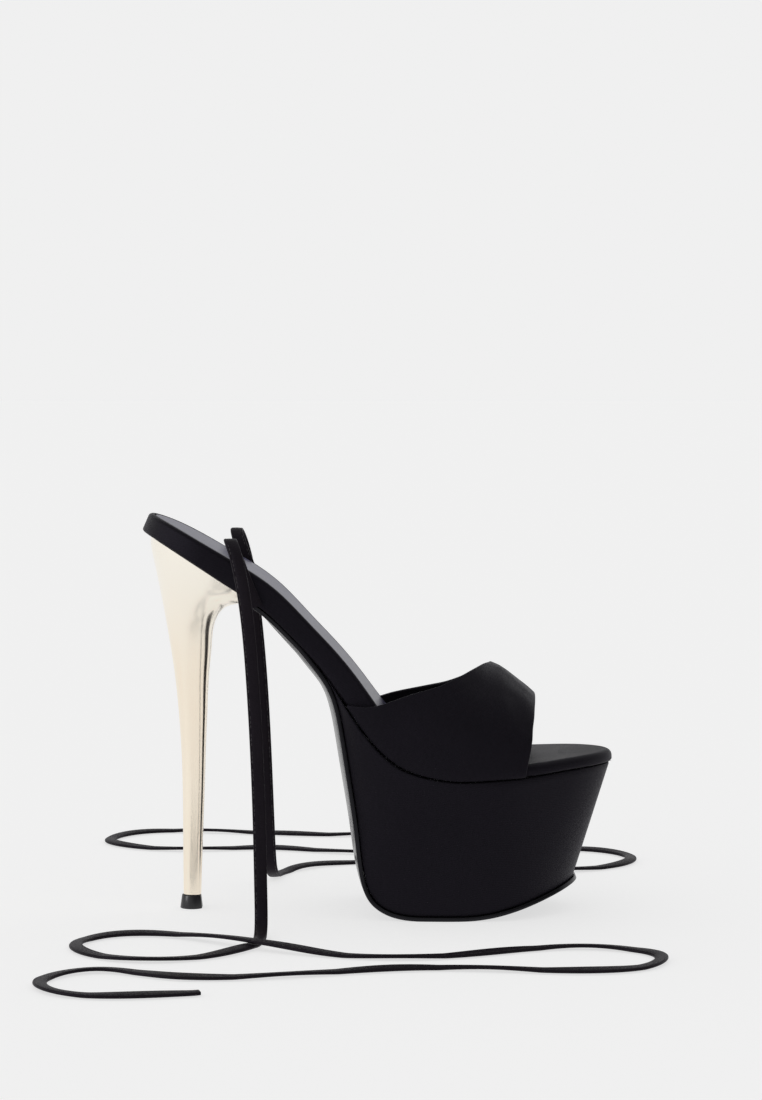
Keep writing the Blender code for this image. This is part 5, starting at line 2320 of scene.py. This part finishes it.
@dataclass
class PlatedHeel:
    """The slender plated heel, from its seat under the footbed down to the top piece."""

    last: Last
    seat_length: float = 0.045
    seat_width: float = 0.051
    stem_along: float = 0.088
    seat_start: float = 0.020
    lip_gap: float = 0.0007
    foot: float = 0.0065
    back_power: float = 2.2
    front_power: float = 3.4
    points_a_side: int = 40
    rings: int = 110
    seat_rows: int = 60
    axis_along: float = 0.15
    sharp_over: float = 50.0

    @property
    def axis(self) -> Pair:
        """(x, y) of the stem."""
        lateral, medial = self.last.half_widths(self.axis_along)
        return self.last.x(self.stem_along), (medial - lateral) / 2

    def section(self) -> list[Pair]:
        """Half of the stem's outline.

        Returns:
            Points from back to front, as (share from back to front, share of the half width).
        """
        outline = []
        for i in range(self.points_a_side):
            angle = math.pi * i / (self.points_a_side - 1)
            ahead = -math.cos(angle)
            power = 2 / (self.front_power if ahead > 0 else self.back_power)
            outline.append(((math.copysign(abs(ahead) ** power, ahead) + 1) / 2, math.sin(angle) ** power))
        return outline

    def seat(self) -> tuple[np.ndarray, float]:
        """Half of the heel's top, on the slope under the footbed.

        Returns:
            Points as (x, distance from the stem's plane, z), and the height of the top's back end.
        """
        stations = np.linspace(0.0, self.last.breast_along, self.seat_rows)
        slope = [self.last.place(a, 0.0, -self.last.thickness(a) - CLEARANCE) for a in stations]
        slope_x, slope_z = [p[0] for p in slope], [p[2] for p in slope]
        back_x = slope_x[0] + self.seat_start * self.last.length
        front_x = slope_x[-1] - self.lip_gap
        points = []
        for u, v in self.section():
            x = back_x + (front_x - back_x) * u
            points.append((x, v * self.seat_width / 2, float(np.interp(x, slope_x, slope_z))))
        return np.array(points), float(np.interp(back_x, slope_x, slope_z))

    def reach(self, ahead: float, height: float) -> np.ndarray:
        """Point of the stem's plane, at a share of the seat's length from its axis, not under its foot."""
        return np.array((self.axis[0] + ahead * self.seat_length, 0.0, max(height, self.foot)))

    def rows(self) -> np.ndarray:
        """The half outlines that the heel's table gives.

        Returns:
            Outlines from the seat down, of shape (outlines, points, 3).
        """
        seat, height = self.seat()
        rows = [seat]
        for row in HEEL:
            back = self.reach(-row.back, row.back_height * height)
            front = self.reach(row.front, row.front_height * height)
            wide = row.half_width * self.seat_width / 2
            half = [back + (front - back) * u + np.array((0.0, wide * v, 0.0)) for u, v in self.section()]
            rows.append(np.array(half))
        return np.array(rows)

    def build(self) -> Piece:
        """Draws a smooth line down the heel through each point of its outlines, and skins them.

        Returns:
            The heel.
        """
        rows = self.rows()
        knots = running(np.linalg.norm(np.diff(rows, axis=0), axis=2).mean(axis=1))
        lines = Spline(knots, rows)
        axis_y = self.axis[1]
        rings = []
        for place in knots[-1] * eased(self.rings, ease_high=False):
            half = np.array(lines(float(place)))
            lateral, medial = half.copy(), half.copy()
            lateral[:, 1] = axis_y - half[:, 1]
            medial[:, 1] = axis_y + half[:, 1]
            rings.append(np.vstack([lateral, medial[-2::-1]]))
        points = np.array(rings)
        return Bench.wrap("plated_heel", points, cloth_over_rings(points), self.sharp_over)

    def dress(self, gold: Material) -> list[Piece]:
        """Builds the heel and plates it."""
        return [Bench.dress(self.build(), [gold], Slot.PLATING, "heel")]


@dataclass
class TopPiece:
    """The hard black piece that the heel walks on, wider at the floor, with a flat breast."""

    heel: PlatedHeel
    height: float = 0.0062
    length: float = 0.0108
    width: float = 0.0100
    taper: float = 0.84
    breast: float = 0.43
    bevel: float = 0.00045
    sides: int = 56
    sharp_over: float = 40.0

    def build(self) -> Piece:
        """Shapes a cylinder by hand: it is narrowed upwards, cut flat in front and its edges are rounded.

        Returns:
            The top piece.
        """
        axis_x, axis_y = self.heel.axis
        Bench.clear()
        centre = (axis_x, axis_y, self.height / 2)
        bpy.ops.mesh.primitive_cylinder_add(
            vertices=self.sides, radius=0.5, depth=self.height, location=centre, end_fill_type="NGON"
        )
        tip = bpy.context.object
        tip.name = tip.data.name = "heel_top_piece"
        bpy.ops.object.transform_apply(location=True, rotation=True, scale=True)
        bpy.ops.object.mode_set(mode="EDIT")
        bpy.ops.mesh.select_all(action="SELECT")
        bpy.ops.transform.resize(value=(self.length, self.width, 1.0), center_override=centre)
        bpy.ops.mesh.bisect(
            plane_co=(axis_x + self.breast * self.length, axis_y, 0.0),
            plane_no=(1.0, 0.0, 0.0),
            use_fill=True,
            clear_outer=True,
        )
        shell = bmesh.from_edit_mesh(tip.data)
        for vertex in shell.verts:
            vertex.select = vertex.co.z > self.height / 2
        shell.select_flush(True)
        bmesh.update_edit_mesh(tip.data)
        bpy.ops.transform.resize(value=(self.taper, self.taper, 1.0), center_override=centre)
        bpy.ops.object.mode_set(mode="OBJECT")
        Bench.round_edges(tip, self.bevel, self.sharp_over)
        Bench.face_outwards(tip)
        return Bench.smooth(tip, self.sharp_over)

    def dress(self, plastic: Material) -> list[Piece]:
        """Builds the top piece in hard plastic."""
        return [Bench.dress(self.build(), [plastic], Slot.SOLE, "top_piece")]


# Studio


class Lamp(NamedTuple):
    """A soft rectangular light. place: where it hangs. aim: what it points at. size: width and height."""

    name: str
    place: Point
    aim: Point
    size: Pair
    watts: float


LAMPS = (
    Lamp("overhead_box", (0.30, 0.10, 1.10), (0.04, 0.0, 0.08), (0.7, 0.5), 1.0),
    Lamp("rear_left_box", (-0.95, -0.55, 0.55), (0.0, 0.0, 0.09), (0.4, 0.8), 6.0),
)


@dataclass
class Studio:
    """Pale paper, soft lights and the camera of the photograph.

    A level is the room's brightness in one direction. The steps between two levels are given as shares of
    the way from left to right, from behind the camera to ahead of it, and up.
    """

    photo_height: float = 1100.0
    focal_pixels: float = 2777.5
    distance: float = 1.236
    pitch: float = math.radians(3.3)
    aim: Point = (0.0015, 0.0, 0.16035)
    sensor: float = 36.0
    nearest: float = 0.01
    paper_size: float = 120.0
    paper_cells: int = 8
    paper_level: float = 0.871
    left_level: float = 0.82
    right_level: float = 0.06
    overhead_level: float = 0.45
    rightwards: Pair = (-0.7, 0.6)
    ahead: Pair = (0.0, 0.25)
    upwards: Pair = (0.12, 0.75)
    white: Colour = (1.0, 1.0, 1.0)

    def camera(self) -> None:
        """Sets the camera at the photograph's angle and framing."""
        data = bpy.data.cameras.new("photo_camera")
        data.sensor_fit = "VERTICAL"
        data.sensor_height = self.sensor
        data.lens = self.focal_pixels / self.photo_height * self.sensor
        data.clip_start, data.clip_end = self.nearest, 2 * self.paper_size
        camera = bpy.data.objects.new("photo_camera", data)
        bpy.context.scene.collection.objects.link(camera)
        x, y, z = self.aim
        run, rise = self.distance * math.cos(self.pitch), self.distance * math.sin(self.pitch)
        camera.location = (x, y - run, z + rise)
        camera.rotation_euler = (math.pi / 2 - self.pitch, 0.0, 0.0)
        bpy.context.scene.camera = camera

    def paper(self, finish: Material) -> None:
        """Lays the paper under the shoe.

        Args:
            finish: the paper's material.
        """
        Bench.clear()
        bpy.ops.mesh.primitive_grid_add(
            x_subdivisions=self.paper_cells, y_subdivisions=self.paper_cells, size=self.paper_size
        )
        sheet = bpy.context.object
        sheet.name = sheet.data.name = "studio_paper"
        sheet.data.materials.append(finish)
        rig.stage(sheet)

    def room(self) -> None:
        """Lights the room: bright on the left, dark on the right, even ahead and dimmer overhead."""
        world = bpy.data.worlds.new("studio_room")
        bpy.context.scene.world = world
        graph = Graph(world)
        x, y, z = graph.split(graph.node("ShaderNodeTexCoord").outputs["Generated"])
        level = graph.step(x, self.rightwards, (self.left_level, self.right_level))
        for value, span, other in ((y, self.ahead, self.paper_level), (z, self.upwards, self.overhead_level)):
            share = graph.step(value, span)
            level = graph.signal("ShaderNodeMix", 0, None, {0: share, 2: level, 3: other})
        inputs = {"Color": opaque(self.white), "Strength": level}
        background = graph.node("ShaderNodeBackground", None, inputs)
        graph.node("ShaderNodeOutputWorld", None, {"Surface": background.outputs[0]})

    def hang(self, lamp: Lamp) -> None:
        """Hangs one soft light that shows in glossy surfaces and leaves the paper even.

        Args:
            lamp: the light.
        """
        data = bpy.data.lights.new(lamp.name, "AREA")
        data.shape = "RECTANGLE"
        data.size, data.size_y = lamp.size
        data.energy = lamp.watts
        hung = bpy.data.objects.new(lamp.name, data)
        bpy.context.scene.collection.objects.link(hung)
        hung.visible_diffuse = False
        hung.location = lamp.place
        hung.rotation_euler = (Vector(lamp.aim) - hung.location).to_track_quat("-Z", "Y").to_euler()

    def build(self) -> None:
        """Sets the camera, the paper, the room and the lights."""
        self.camera()
        self.paper(StudioPaper("studio_paper").material())
        self.room()
        for lamp in LAMPS:
            self.hang(lamp)
        view = bpy.context.scene.view_settings
        view.view_transform = "Standard"
        view.look = "None"


def main() -> None:
    """Builds the studio and every piece of the sandal, and reports each piece."""
    logging.basicConfig(level=logging.INFO, format="%(message)s")
    Studio().build()
    last = Last()
    line = SoleLine(last)
    heel = PlatedHeel(last)
    satin = Satin("black_satin").material()
    tie_satin = Satin("tie_satin", shade=(0.0068, 0.0052, 0.0062), bloom=(0.0150, 0.0115, 0.0140)).material()
    thread = Thread("tie_thread").material()
    lining = CoatedLeather("band_lining", roughness=0.42, coat=0.1).material()
    pieces = Tie(last, Side.LATERAL, TIE_LATERAL).dress(tie_satin, thread)
    pieces += Tie(last, Side.MEDIAL, TIE_MEDIAL).dress(tie_satin, thread)
    pieces += FootbedWrap(last).dress(satin)
    pieces += SockLiner(last).dress(CoatedLeather("coated_sock").material())
    pieces += Outsole(line).dress(GlossRubber("gloss_rubber").material())
    pieces += PlatformWrap(last, line).dress(satin)
    pieces += ForefootBand(last).dress(satin, lining)
    pieces += heel.dress(PlatedGold("pale_gold_plating").material())
    pieces += TopPiece(heel).dress(MouldedTip("heel_tip_plastic").material())
    for piece in pieces:
        LOG.info("%s: %d faces", piece.name, len(piece.data.polygons))
    with open("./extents.json", "w", encoding="utf-8") as report:
        json.dump([[list(corner) for corner in box] for box in (CAD_BOX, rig.bounds())], report)


if __name__ == "__main__":
    main()
